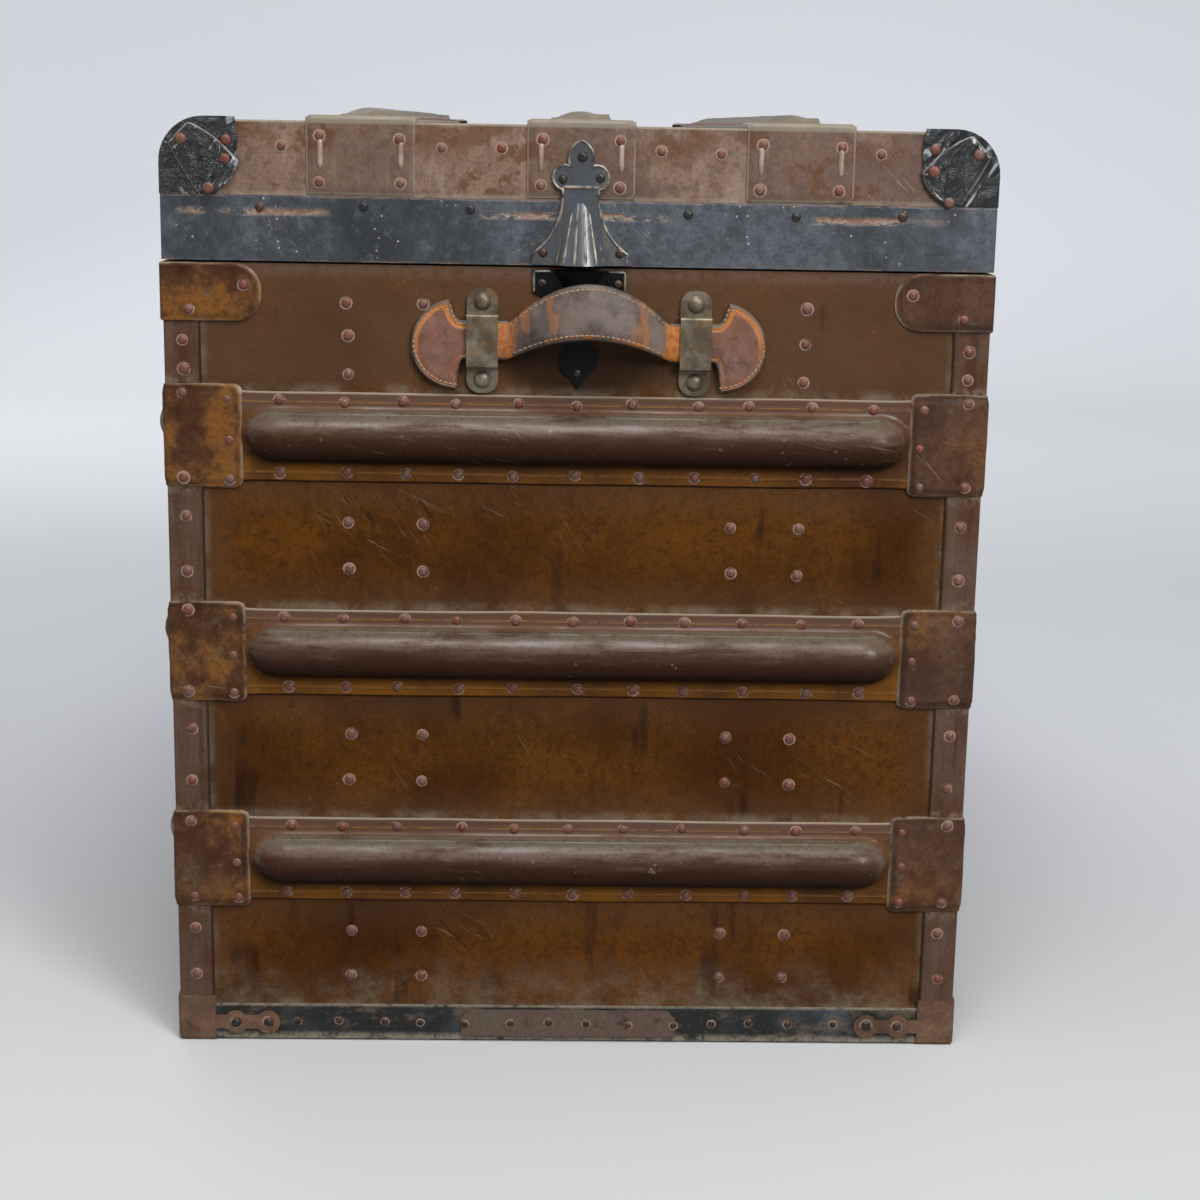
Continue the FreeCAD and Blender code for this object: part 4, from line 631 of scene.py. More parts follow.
def skirt_paint():
    """Blue-black painted steel with chips below the nails and pale specks."""
    paint = Paint("skirt_paint")
    z = paint.axes()[2]
    cloud = paint.noise(7, 6, 0.62, stretch=(1, 1, 0.6))
    mottle = paint.noise(150, 5, 0.72)
    scuff = paint.noise(48, 6, 0.76, stretch=(1, 1, 2.0))
    blotch = paint.noise(26, 6, 0.7)
    paint.base = paint.mix(cloud.over(0.4, 0.56), "skirt_dark", "skirt")
    paint.lay(blotch.over(0.52, 0.64) * 0.65, "skirt_dark")
    paint.lay(mottle.over(0.47, 0.58) * 0.5, "skirt_dark")
    paint.lay(mottle.under(0.36, 0.44) * 0.2, "skirt_pale")
    paint.grain(480, "skirt_dark", "skirt_pale", 0.45)
    row = abs(z - (SKIRT_TOP - 0.0105)).under(0.0004, 0.0036)
    bare = row * paint.noise(9, 2).over(0.5, 0.56) * scuff.over(0.44, 0.5)
    edge = z.under(SKIRT_FOOT + 0.0004, SKIRT_FOOT + 0.002) * scuff.over(0.5, 0.6) * 0.7
    lip = z.over(SKIRT_TOP - 0.0018, SKIRT_TOP - 0.0004) * scuff.over(0.4, 0.6) * 0.6
    chips = bare.most(edge).most(lip)
    paint.lay(chips, "chip")
    spots = paint.noise(75, 4, 0.7)
    flakes = spots.over(0.66, 0.69) * blotch.over(0.42, 0.54)
    paint.lay(flakes * 0.8, "chip")
    ring = bare * scuff.under(0.5, 0.56) * 0.4
    specks = paint.cells(170).under(0.07, 0.15) * paint.noise(22, 3).over(0.5, 0.6)
    lines = paint.scratches((0.2, 0.7, 0.4), 0.5) + paint.scratches((0.3, 1.3, 0), 0.4)
    pale = specks + spots.over(0.71, 0.73) * blotch.over(0.45, 0.56) + ring + lines
    paint.lay(pale.least(0.85), "cream")
    return paint.finish(
        roughness=0.28 + mottle * 0.24 + chips * 0.3,
        coat_weight=0.5 - chips * 0.5,
        coat_roughness=0.2,
        normal=paint.relief(mottle * 0.5 + cloud * 1.8 + blotch * 0.9 - chips * 1.4, 0.55, 0.0008),
    )


def black_cap_hide():
    """Glossy black hide, creased and rubbed, with painted highlights along the creases."""
    paint = Paint("black_cap_hide")
    edge = paint.layer("edge")
    cloud = paint.noise(30, 5, 0.65)
    fold = paint.noise(70, 4, 0.55, stretch=(1, 1, 0.2), turn=(0, 0.6, 0), twist=1.2)
    crease = paint.noise(36, 5, 0.6, twist=2.4)
    mottle = paint.noise(320, 4, 0.7)
    paint.base = paint.mix(cloud.over(0.55, 0.85), "black_hide", "black_worn")
    # Painted highlights along the creases
    paint.lay(fold.over(0.57, 0.62) * crease.over(0.42, 0.56) * 0.9, "cap_crease_highlight")
    bare = paint.noise(60, 5, 0.7).over(0.63, 0.69)
    paint.lay(bare * 0.5, "dust")
    rim = edge.over(0.0001, 0.0003) * edge.under(0.0005, 0.0016)
    paint.lay(rim * 0.8 * mottle.over(0.3, 0.6), "dust")
    return paint.finish(
        roughness=0.16 + mottle * 0.14,
        coat_weight=0.7 + cloud * 0.3,
        coat_roughness=0.14,
        normal=paint.relief(fold * 2.2 + crease * 2.6 + mottle * 0.1, 1.0, 0.003),
    )


def dowel_steel(name, ground, worn, rubbed):
    """Black steel with rubbed, tan ridges."""
    paint = Paint(name)
    cloud = paint.noise(40, 5, 0.65)
    mottle = paint.noise(220, 5, 0.72)
    paint.base = paint.mix(cloud.over(0.35, 0.7), ground, worn)
    rub = paint.noise(60, 4, stretch=(1, 1, 0.35)).over(0.54, 0.68)
    paint.lay(rub * rubbed, "dowel_rub")
    paint.grain(620, "skirt_dark", "dowel_rub", rubbed * 0.6)
    return paint.finish(
        metallic=rubbed * (0.8 + rub * 0.7),
        roughness=0.22 + mottle * 0.2,
        specular_ior_level=0.06 + rubbed,
        coat_weight=rubbed * 0.7,
        normal=paint.relief(mottle * 0.6 + cloud, 0.5, 0.0006),
    )


def rubbed_steel():
    """Ridges of the dowels where the black has worn through to tan."""
    paint = Paint("rubbed_steel")
    patchy = paint.noise(90, 5, 0.7)
    mottle = paint.noise(300, 4, 0.7)
    paint.base = paint.mix(patchy.over(0.4, 0.62), "dowel_rub", "dowel")
    return paint.finish(
        metallic=0.45,
        roughness=0.26 + mottle * 0.25,
        normal=paint.relief(mottle, 0.4, 0.0003),
    )


def rubbed_fold_and_highlight():
    """Embossed beads of the lid clamps, rubbed pale and lightened further as a painted highlight."""
    paint = Paint("rubbed_fold_and_highlight")
    patchy = paint.noise(90, 5, 0.7)
    mottle = paint.noise(320, 4, 0.7)
    paint.base = paint.mix(patchy.over(0.4, 0.62), "lid_pale", "lid")
    return paint.finish(
        roughness=0.3 + mottle * 0.2,
        coat_weight=0.5 * patchy.over(0.35, 0.6),
        normal=paint.relief(mottle, 0.4, 0.0003),
    )


def loop_steel():
    """Olive-brown steel, bright where the strap and hands rub it."""
    paint = Paint("loop_steel")
    cloud = paint.noise(55, 5, 0.65)
    mottle = paint.noise(260, 5, 0.75)
    paint.base = paint.mix(cloud.over(0.4, 0.7), "loop", "loop_bright")
    paint.lay(mottle.over(0.54, 0.7) * 0.6, "dowel")
    paint.lay(paint.noise(80, 4).over(0.56, 0.7) * 0.5, "amber")
    return paint.finish(
        metallic=0.55,
        roughness=0.3 + mottle * 0.25,
        normal=paint.relief(mottle * 0.8 + cloud, 0.4, 0.0004),
    )


def strap_hide():
    """Handle strap: grey-brown face, raw orange hide near the loops and at its lower seam."""
    paint = Paint("strap_hide")
    along = abs(paint.layer("along"))
    across = paint.layer("across")
    cloud = paint.noise(45, 5, 0.65)
    mottle = paint.noise(240, 6, 0.75)
    streak = paint.noise(75, 5, 0.65, stretch=(1, 1, 0.3))
    paint.base = paint.mix(cloud.over(0.28, 0.66), "strap_dark", "strap")
    paint.lay(mottle.over(0.52, 0.7) * 0.5, "tab_rim")
    paint.lay(streak.over(0.5, 0.58) * along.over(0.1, 0.3) * 0.35, "raw")
    ends = (along + (streak - 0.5) * 0.5).over(0.86, 0.96)
    patches = along.over(0.3, 0.6) * streak.over(0.6, 0.66) * 0.9
    seam = across.under(-0.84, -0.72) * across.over(-0.96, -0.88) * streak.over(0.46, 0.54)
    upper = across.over(0.8, 0.92) * along.over(0.5, 0.7) * cloud.over(0.5, 0.6)
    raw = ends.most(patches).most(seam).most(upper)
    rawness = paint.mix(mottle.over(0.36, 0.66), "raw", "raw_dark")
    paint.lay(raw, rawness)
    under = across.under(-1.0, -0.84)
    rim = (abs(across).over(0.92, 1.0) * 0.65).most(under * 0.85)
    paint.lay(rim * (1 - raw * 0.6), "strap_dark")
    return paint.finish(
        roughness=0.4 + mottle * 0.2 + raw * 0.2,
        specular_ior_level=0.4,
        normal=paint.relief(mottle + cloud * 1.2 + raw * 0.5, 0.55, 0.0007),
    )


def tab_hide():
    """Handle tabs: red-brown middle, orange stitched border and grey rim."""
    paint = Paint("tab_hide")
    z = paint.axes()[2]
    edge = paint.layer("edge")
    cloud = paint.noise(50, 5, 0.65)
    mottle = paint.noise(240, 6, 0.75)
    ragged = edge + (mottle - 0.5) * 0.0026
    paint.base = paint.mix(cloud.over(0.3, 0.7), "tab", "tab_pale")
    paint.lay(mottle.over(0.5, 0.7) * 0.5, "tab_rim")
    scuff = paint.noise(95, 6, 0.78)
    paint.lay(scuff.over(0.52, 0.64) * 0.6, "strap_dark")
    border = ragged.over(0.0014, 0.0024) * ragged.under(0.004, 0.0056)
    bright = z.over(HANDLE_UP - 0.02, HANDLE_UP + 0.012) * (0.4 + cloud * 0.9)
    paint.lay(border * (0.12 + bright.least(0.85)), "raw")
    paint.lay(ragged.under(0.0012, 0.0024) * 0.85, "tab_rim")
    return paint.finish(
        roughness=0.45 + mottle * 0.25,
        specular_ior_level=0.35,
        normal=paint.relief(mottle + cloud * 1.3, 0.55, 0.0007),
    )


def thread_yarn():
    """Waxed stitching thread."""
    paint = Paint("thread_yarn")
    change = paint.noise(160, 3)
    twist = paint.noise(2600, 1, stretch=(1, 1, 0.5), turn=(0.6, 0.6, 0))
    paint.base = paint.mix(change.over(0.4, 0.7), "thread", "raw")
    return paint.finish(roughness=0.7 + twist * 0.2, normal=paint.relief(twist, 0.5, 0.0002))


def foot_strip():
    """Worn black strip round the foot."""
    paint = Paint("foot_strip")
    z = paint.axes()[2]
    cloud = paint.noise(12, 5, 0.65)
    mottle = paint.noise(150, 6, 0.75)
    paint.base = paint.mix(cloud.over(0.5, 0.8), "base_black", "black_worn")
    worn = paint.noise(30, 6, 0.75, stretch=(1, 1, 2)).over(0.5, 0.62)
    paint.lay(worn * 0.8, "overlay")
    foot = z.under(0.003, 0.008) * mottle.over(0.35, 0.55)
    lip = z.over(BASE_HIGH[2] - 0.0022, BASE_HIGH[2] - 0.0004) * mottle.over(0.3, 0.55)
    paint.lay((foot + lip).least(1.0) * 0.7, "dust")
    paint.grain(420, "base_black", "dust", 0.35)
    return paint.finish(
        roughness=0.36 + mottle * 0.3,
        specular_ior_level=0.35,
        normal=paint.relief(mottle + cloud, 0.5, 0.0006),
    )


def overlay_hide():
    """Grey-brown patch in the middle of the foot strip."""
    paint = Paint("overlay_hide")
    cloud = paint.noise(30, 5, 0.65)
    mottle = paint.noise(170, 6, 0.75)
    paint.base = paint.mix(cloud.over(0.3, 0.7), "overlay", "binding")
    paint.grain(420, "base_black", "dust", 0.4)
    paint.lay(paint.noise(60, 4).over(0.58, 0.7) * 0.6, "base_black")
    return paint.finish(
        roughness=0.48 + mottle * 0.25,
        specular_ior_level=0.35,
        normal=paint.relief(mottle + cloud, 0.5, 0.0006),
    )


def rusty_steel():
    """Brown rusty steel of foot caps."""
    paint = Paint("rusty_steel")
    cloud = paint.noise(45, 5, 0.65)
    mottle = paint.noise(260, 6, 0.78)
    pits = paint.cells(420).under(0.15, 0.4)
    paint.base = paint.mix(cloud.over(0.3, 0.7), "rust", "rust_pale")
    paint.lay(mottle.over(0.54, 0.7) * 0.55, "nail_dark")
    paint.grain(420, "nail_dark", "dust", 0.3)
    return paint.finish(
        metallic=0.2 + mottle * 0.15,
        roughness=0.42 + mottle * 0.3,
        normal=paint.relief(mottle + cloud - pits * 0.4, 0.6, 0.0006),
    )


def nail_copper():
    """Copper-brown nail heads, each a little different."""
    paint = Paint("nail_copper")
    each = paint.noise(26, 2, 0.6)
    mottle = paint.noise(420, 5, 0.75)
    paint.base = paint.mix(each.over(0.36, 0.66), "copper", "copper_dull")
    paint.lay(mottle.over(0.5, 0.68) * 0.6, "nail_dark")
    paint.lay(mottle.under(0.3, 0.42) * 0.4, "dust")
    return paint.finish(
        metallic=0.08,
        roughness=0.34 + mottle * 0.25,
        normal=paint.relief(mottle, 0.4, 0.0003),
    )


def nail_black():
    """Blackened nail heads of skirt, foot and dowels."""
    paint = Paint("nail_black")
    each = paint.noise(30, 2, 0.6)
    mottle = paint.noise(420, 5, 0.75)
    paint.base = paint.mix(each.over(0.46, 0.7), "nail_dark", "rust")
    paint.lay(mottle.over(0.55, 0.7) * 0.4, "loop_bright")
    return paint.finish(
        metallic=0.4,
        roughness=0.26 + mottle * 0.25,
        normal=paint.relief(mottle, 0.4, 0.0003),
    )


def nail_collar(name, ground, amount):
    """Pale ring round a nail, partly dust and partly a painted highlight: strong in places, the ground's own
    colour elsewhere.
    """
    paint = Paint(name)
    broken = paint.noise(70, 4, 0.7)
    fine = paint.noise(500, 3)
    share = broken.over(0.36, 0.58) * (0.5 + fine * 0.7) * amount
    paint.base = paint.mix(share.least(0.95), ground, "ring")
    return paint.finish(roughness=0.5 + fine * 0.25, specular_ior_level=0.3)


def pine_board():
    """Plain pine with long grain."""
    paint = Paint("pine_board")
    grain = paint.noise(26, 6, 0.6, stretch=(1, 0.06, 1), twist=0.6)
    fine = paint.noise(300, 4, stretch=(1, 0.05, 1))
    stain = paint.noise(5, 4)
    paint.base = paint.mix(grain.over(0.4, 0.72) * 0.6, "pine", "pine_dark")
    paint.lay(fine.over(0.5, 0.7) * 0.35, "pine_dark")
    paint.lay(stain.over(0.5, 0.75) * 0.35, "lining_stain")
    return paint.finish(
        roughness=0.58 + fine * 0.2, normal=paint.relief(fine + grain, 0.35, 0.0005)
    )


def lining_cloth():
    """Pale cloth lining with a plain weave and old stains."""
    paint = Paint("lining_cloth")
    x, y, z = paint.axes()
    pitch = 2 * math.pi / 0.0011
    warp = (x + y).math("SINE", (x + y) * pitch)
    weft = z.math("SINE", (z + x * 0.5) * pitch)
    weave = warp * weft
    stain = paint.noise(6, 6, 0.65)
    slub = paint.noise(200, 3, stretch=(1, 1, 0.1))
    paint.base = paint.mix(stain.over(0.45, 0.72), "lining", "lining_stain")
    paint.lay(slub.over(0.5, 0.72) * 0.3 + weave * 0.1, "dust")
    return paint.finish(
        roughness=0.82 + slub * 0.1, normal=paint.relief(weave * 0.6 + slub, 0.4, 0.0003)
    )


def old_brass():
    """Tarnished brass of the lock."""
    paint = Paint("old_brass")
    cloud = paint.noise(35, 5, 0.65)
    mottle = paint.noise(260, 6, 0.75)
    tarnish = cloud.over(0.42, 0.68)
    paint.base = paint.mix(tarnish * 0.8, "brass", "brass_dark")
    paint.lay(mottle.over(0.55, 0.7) * 0.4, "brass_dark")
    return paint.finish(
        metallic=0.85 - tarnish * 0.3,
        roughness=0.3 + mottle * 0.25 + tarnish * 0.15,
        normal=paint.relief(mottle, 0.35, 0.0003),
    )


PAINTED = {}


def finish_of(make, *values):
    """A finish, made the first time it is asked for."""
    key = (make.__name__, *values)
    if key not in PAINTED:
        PAINTED[key] = make(*values)
    return PAINTED[key]


def dress(material, *nodes):
    """Gives frame nodes a finish in place of their plain one."""
    for name in nodes:
        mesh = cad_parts[name].data
        mesh.materials.clear()
        mesh.materials.append(material)


class Face:
    """An upright side of the trunk: along it, up it and out of it, in metres."""

    def __init__(self, name, along, out, reach, half):
        self.name = name
        self.along = Vector(along)
        self.out = Vector(out)
        self.reach = reach
        self.half = half

    def at(self, along, up, out):
        return self.along * along + Vector((0, 0, up)) + self.out * (self.reach + out)


FACES = {
    "left": Face("left", (1, 0, 0), (0, -1, 0), HALF_LENGTH, HALF_WIDTH),
    "front": Face("front", (0, 1, 0), (1, 0, 0), HALF_WIDTH, HALF_LENGTH),
    "right": Face("right", (-1, 0, 0), (0, 1, 0), HALF_LENGTH, HALF_WIDTH),
    "back": Face("back", (0, -1, 0), (-1, 0, 0), HALF_WIDTH, HALF_LENGTH),
}
ENDS = (FACES["left"], FACES["right"])
CORNERS = [(-1, -1), (1, -1), (1, 1), (-1, 1)]
LID_ROWS = (-1, 0, 1)


def soft_step(value, low, high):
    share = min(max((value - low) / (high - low), 0.0), 1.0)
    return share * share * (3 - 2 * share)


def soft_most(first, second, blend):
    """The larger of two heights with a rounded valley between them."""
    share = max(blend - abs(first - second), 0.0) / blend
    return max(first, second) + share * share * blend / 4


def rolled(edge, thick, roll):
    """Height of a sheet whose rim is rolled over."""
    near = min(edge / roll, 1.0)
    return thick * (0.3 + 0.7 * math.sqrt(1 - (1 - near) ** 2))


def ripple(u, v, scale, seed):
    """Smooth variation between about -1 and 1."""
    return noise.noise(Vector((u * scale, v * scale, seed * 7.31)))


def spread(count):
    return [i / (count - 1) for i in range(count)]


LAYERS = ("edge", "along", "across", "rise")
# Height off the surface at which the rise layer is 1
RISE_UNIT = 0.015


def build(name, body, finishes, fill, replaces=(), crease=38):
    """Makes one mesh piece, lets fill add its faces, and sets it on its body."""
    bm = bmesh.new()
    for layer in LAYERS:
        bm.verts.layers.float.new(layer)
    fill(bm)
    if not bm.faces:
        raise RuntimeError("no faces in " + name)
    bmesh.ops.recalc_face_normals(bm, faces=bm.faces)
    mesh = bpy.data.meshes.new(name)
    bm.to_mesh(mesh)
    bm.free()
    for finish in finishes:
        mesh.materials.append(finish)
    mesh.shade_smooth()
    mesh.set_sharp_from_angle(angle=math.radians(crease))
    piece = bpy.data.objects.new(name, mesh)
    bpy.context.scene.collection.objects.link(piece)
    if body:
        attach(piece, body)
    if replaces:
        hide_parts(*replaces)
    return piece


def quads(bm, lines, closed=False, slot=0):
    """Faces between neighbouring lines of vertices."""
    for first, second in zip(lines, lines[1:]):
        count = len(first)
        for i in range(count if closed else count - 1):
            j = (i + 1) % count
            face = bm.faces.new((first[i], first[j], second[j], second[i]))
            face.material_index = slot


def rim_of(lines):
    """The vertices round a grid, in order."""
    right = [line[-1] for line in lines[1:-1]]
    left = [line[0] for line in lines[-2:0:-1]]
    return lines[0] + right + lines[-1][::-1] + left


def ring_of(bm, point, turn, reaches, high=0.0):
    """Vertices round a point's turned axis, each at its own reach."""
    ring = []
    for number, reach in enumerate(reaches):
        angle = 2 * math.pi * number / len(reaches)
        spot = Vector((math.cos(angle) * reach, math.sin(angle) * reach, high))
        ring.append(bm.verts.new(point + turn @ spot))
    return ring


def sheet(bm, place, rows, shares, height, foot):
    """A closed sheet on a surface, as wide in each row (v, lowest u, highest u) as that row says.

    place(u, v, h) gives a point at a height off the surface, height(u, v, edge) the upper skin
    at a distance from the rim, and foot is the height of the under skin.
    """
    layers = [bm.verts.layers.float[name] for name in LAYERS]
    grid = np.array([[(low + (high - low) * s, v) for s in shares] for v, low, high in rows])
    rim = np.concatenate([grid[0], grid[-1], grid[:, 0], grid[:, -1]])
    upper = []
    under = []
    half = max(abs(row[0]) for row in rows)
    for line in grid:
        tops = []
        feet = []
        for u, v in line:
            edge = float(np.hypot(rim[:, 0] - u, rim[:, 1] - v).min())
            lift = height(u, v, edge)
            vertex = bm.verts.new(place(u, v, lift))
            widest = max(abs(line[0][0]), abs(line[-1][0]))
            for layer, value in zip(layers, (edge, v / half, u / widest, lift / RISE_UNIT)):
                vertex[layer] = value
            tops.append(vertex)
            feet.append(bm.verts.new(place(u, v, foot)))
        upper.append(tops)
        under.append(feet)
    quads(bm, upper)
    quads(bm, under)
    quads(bm, [rim_of(upper), rim_of(under)], closed=True)


BEAD_END = 0.35


def bead(bm, points, radius, sides=7, slot=0, end_radius=None):
    """A round bead along points, drawn to a soft end at both ends; it may taper."""
    rings = []
    last = len(points) - 1
    for i, point in enumerate(points):
        ahead = points[min(i + 1, last)] - points[max(i - 1, 0)]
        turn = ahead.to_track_quat("Z", "Y")
        size = radius if end_radius is None else radius + (end_radius - radius) * i / last
        if i in (0, last):
            size *= BEAD_END
        rings.append(ring_of(bm, point, turn, [size] * sides))
    quads(bm, rings, closed=True, slot=slot)
    for ring in (rings[0], rings[-1]):
        bm.faces.new(ring).material_index = slot


# Rings of a nail's dome, as shares of its radius and rise, and of its pale ring, partly dust and partly a
# painted highlight, with heights in metres
NAIL_SIDES = 10
NAIL_RINGS = ((1.0, 0.0), (0.97, 0.3), (0.78, 0.72), (0.42, 0.95))
COLLAR_RINGS = ((0.9, 0.00025), (1.34, 0.00012), (1.34, -0.0003), (0.9, -0.0003))


def nail(bm, point, out, radius, rise, chance, collar=True):
    """A hammered dome with a flat pale ring round its foot, partly dust and partly a painted highlight."""
    radius *= chance.uniform(0.92, 1.08)
    rise *= chance.uniform(0.82, 1.12)
    lean = Vector((chance.uniform(-1, 1), chance.uniform(-1, 1), chance.uniform(-1, 1))) * 0.08
    turn = (Vector(out) + lean).normalized().to_track_quat("Z", "Y")
    flat = Vector(out).to_track_quat("Z", "Y")
    lines = []
    for wide, high in NAIL_RINGS:
        lines.append(ring_of(bm, point, turn, [wide * radius] * NAIL_SIDES, high * rise))
    quads(bm, lines, closed=True)
    bm.faces.new(lines[-1])
    bm.faces.new(lines[0])
    if collar:
        loops = []
        for wide, high in COLLAR_RINGS:
            reaches = [wide * radius * chance.uniform(0.97, 1.03) for _ in range(NAIL_SIDES)]
            loops.append(ring_of(bm, point, flat, reaches, high))
        loops.append(loops[0])
        quads(bm, loops, closed=True, slot=1)


LAMP_AIM = Vector((0, 0, 0.3))


class TRUNK_OT_stage(bpy.types.Operator):
    """Camera, pale floor with a swept backdrop, and soft lamps"""

    bl_idname = "trunk.stage"
    bl_label = "Stage"

    def execute(self, context):
        values = stage_values()
        scene = context.scene
        scene.view_settings.view_transform = "Standard"
        self.floor(values)
        self.world(scene, values)
        self.camera(scene, values)
        # Name, place, width and power
        lamps = [
            ("key_lamp", (1.6, -2.9, 2.1), 1.3, values.key),
            ("fill_lamp", (-2.7, -1.5, 1.6), 2.4, values.fill),
            ("back_lamp", (-1.6, 2.8, 2.2), 2.4, values.back),
            ("top_lamp", (0.0, -1.6, 2.7), 1.4, values.over),
        ]
        for name, place, size, power in lamps:
            self.lamp(name, Vector(place), size, power)
        return {"FINISHED"}

    def floor(self, values):
        """A floor that sweeps up behind the trunk in one curve."""
        near, back = -7.0, 3.2
        wide, high, radius, steps = 9.0, 5.0, 1.6, 12
        line = [(near, 0.0), (0.0, 0.0), (back, 0.0)]
        for i in range(1, steps + 1):
            angle = math.pi / 2 * i / steps
            line.append((back + radius * math.sin(angle), radius - radius * math.cos(angle)))
        line.append((back + radius, high))
        bm = bmesh.new()
        lines = [[bm.verts.new((x, y, z)) for y, z in line] for x in (-wide, 0.0, wide)]
        quads(bm, lines)
        bmesh.ops.recalc_face_normals(bm, faces=bm.faces)
        mesh = bpy.data.meshes.new("floor_sweep")
        bm.to_mesh(mesh)
        bm.free()
        mesh.shade_smooth()
        mesh.materials.append(self.paper(values))
        sweep = bpy.data.objects.new("floor_sweep", mesh)
        bpy.context.scene.collection.objects.link(sweep)

    def paper(self, values):
        """Pale paper, paler as it rises; it glows a little for the camera and sends back less light."""
        paint = Paint("floor_paper")
        y = paint.axes()[1]
        drift = paint.noise(0.7, 2)
        paint.base = paint.mix(y.over(0.5, 4.6), values.backdrop, values.backdrop_far)
        dip = abs(y - 0.45).under(0.1, 0.9)
        paint.lay((dip * 0.85 + drift * 0.15).least(1.0), values.backdrop_shade)
        seen = paint.node("ShaderNodeLightPath", output="Is Camera Ray")
        for ray in ("Is Glossy Ray", "Is Transmission Ray"):
            seen = seen.most(paint.node("ShaderNodeLightPath", output=ray))
        paint.base = paint.mix(seen, values.backdrop_bounce, paint.base)
        glow = paint.mix(seen * y.over(-0.4, 2.6), (0, 0, 0), values.backdrop_glow)
        return paint.finish(roughness=0.75, emission_color=glow, emission_strength=1.0)

    def world(self, scene, values):
        """Even light, stronger from above; the camera sees it as pale as the paper."""
        world = bpy.data.worlds.new("even_light")
        world.use_nodes = True
        sky = Paint("even_light", world)
        way = sky.node("ShaderNodeTexCoord", output="Generated")
        height = sky.node("ShaderNodeSeparateXYZ", None, {0: way}, output="Z")
        light = sky.mix(height.over(-0.15, 0.75), values.sky_low, values.sky_high)
        seen = sky.node("ShaderNodeLightPath", output="Is Camera Ray")
        light = sky.mix(seen, light, values.sky_seen)
        sky.plug(sky.shader.inputs["Color"], light)
        scene.world = world

    def camera(self, scene, values):
        data = bpy.data.cameras.new("camera")
        data.sensor_width = 36
        data.lens = values.lens
        camera = bpy.data.objects.new("camera", data)
        pivot = Matrix.Translation((0, -HALF_LENGTH, 0)) @ Matrix.Rotation(-values.camera_turn, 4, "Z")
        place = Vector((values.camera_aside, -values.camera_away, values.camera_height))
        look = Matrix.Rotation(math.pi / 2 - values.camera_tilt, 4, "X")
        lean = Matrix.Rotation(values.camera_roll, 4, "Z")
        camera.matrix_world = pivot @ Matrix.Translation(place) @ look @ lean
        scene.collection.objects.link(camera)
        scene.camera = camera

    def lamp(self, name, place, size, power):
        data = bpy.data.lights.new(name, "AREA")
        data.shape = "DISK"
        data.size = size
        data.energy = power
        lamp = bpy.data.objects.new(name, data)
        aim = LAMP_AIM - place
        lamp.matrix_world = Matrix.Translation(place) @ aim.to_track_quat("-Z", "Y").to_matrix().to_4x4()
        bpy.context.scene.collection.objects.link(lamp)


class TRUNK_OT_case(bpy.types.Operator):
    """Boards, linings, battens and the lift-out tray"""

    bl_idname = "trunk.case"
    bl_label = "Case and tray"

    def execute(self, context):
        boards = ["bottom_board", "front_board", "back_board", "left_end_board", "right_end_board"]
        lid = ["lid_top_board", "lid_front_rail", "lid_back_rail"]
        lid += ["lid_left_end_board", "lid_right_end_board"]
        tray = ["tray_bottom", "tray_long_walls", "tray_end_walls", "tray_divider", "tray_cleats"]
        dress(finish_of(pine_board), *boards, *lid, *tray, "band_battens", "lid_battens")
        dress(finish_of(lining_cloth), "body_lining", "lid_lining")
        return {"FINISHED"}


class TRUNK_OT_hides(bpy.types.Operator):
    """Coverings, bindings, foot strips and the lid's skirt"""

    bl_idname = "trunk.hides"
    bl_label = "Hides and skirt"

    def execute(self, context):
        inset = sizes().band_inset
        ends = finish_of(field_hide, "end_field_hide", 0, HALF_WIDTH - inset)
        sides = finish_of(field_hide, "side_field_hide", 1, HALF_LENGTH - inset)
        dress(ends, "left_end_covering", "right_end_covering")
        dress(sides, "front_covering", "back_covering")
        dress(finish_of(binding_hide), "edge_bindings")
        lid = finish_of(lid_hide, "lid_hide", 0.0)
        dress(lid, "lid_wrap_covering", "lid_left_end_covering", "lid_right_end_covering")
        dress(finish_of(skirt_paint), "lid_valance")
        dress(finish_of(foot_strip), "base_bindings")
        dress(finish_of(overlay_hide), "base_overlays")
        dress(finish_of(rusty_steel), "base_corner_caps")
        dress(finish_of(black_cap_hide), "lid_corner_caps")
        return {"FINISHED"}


# How much longer than a ball a rib's nose is
NOSE = 1.2


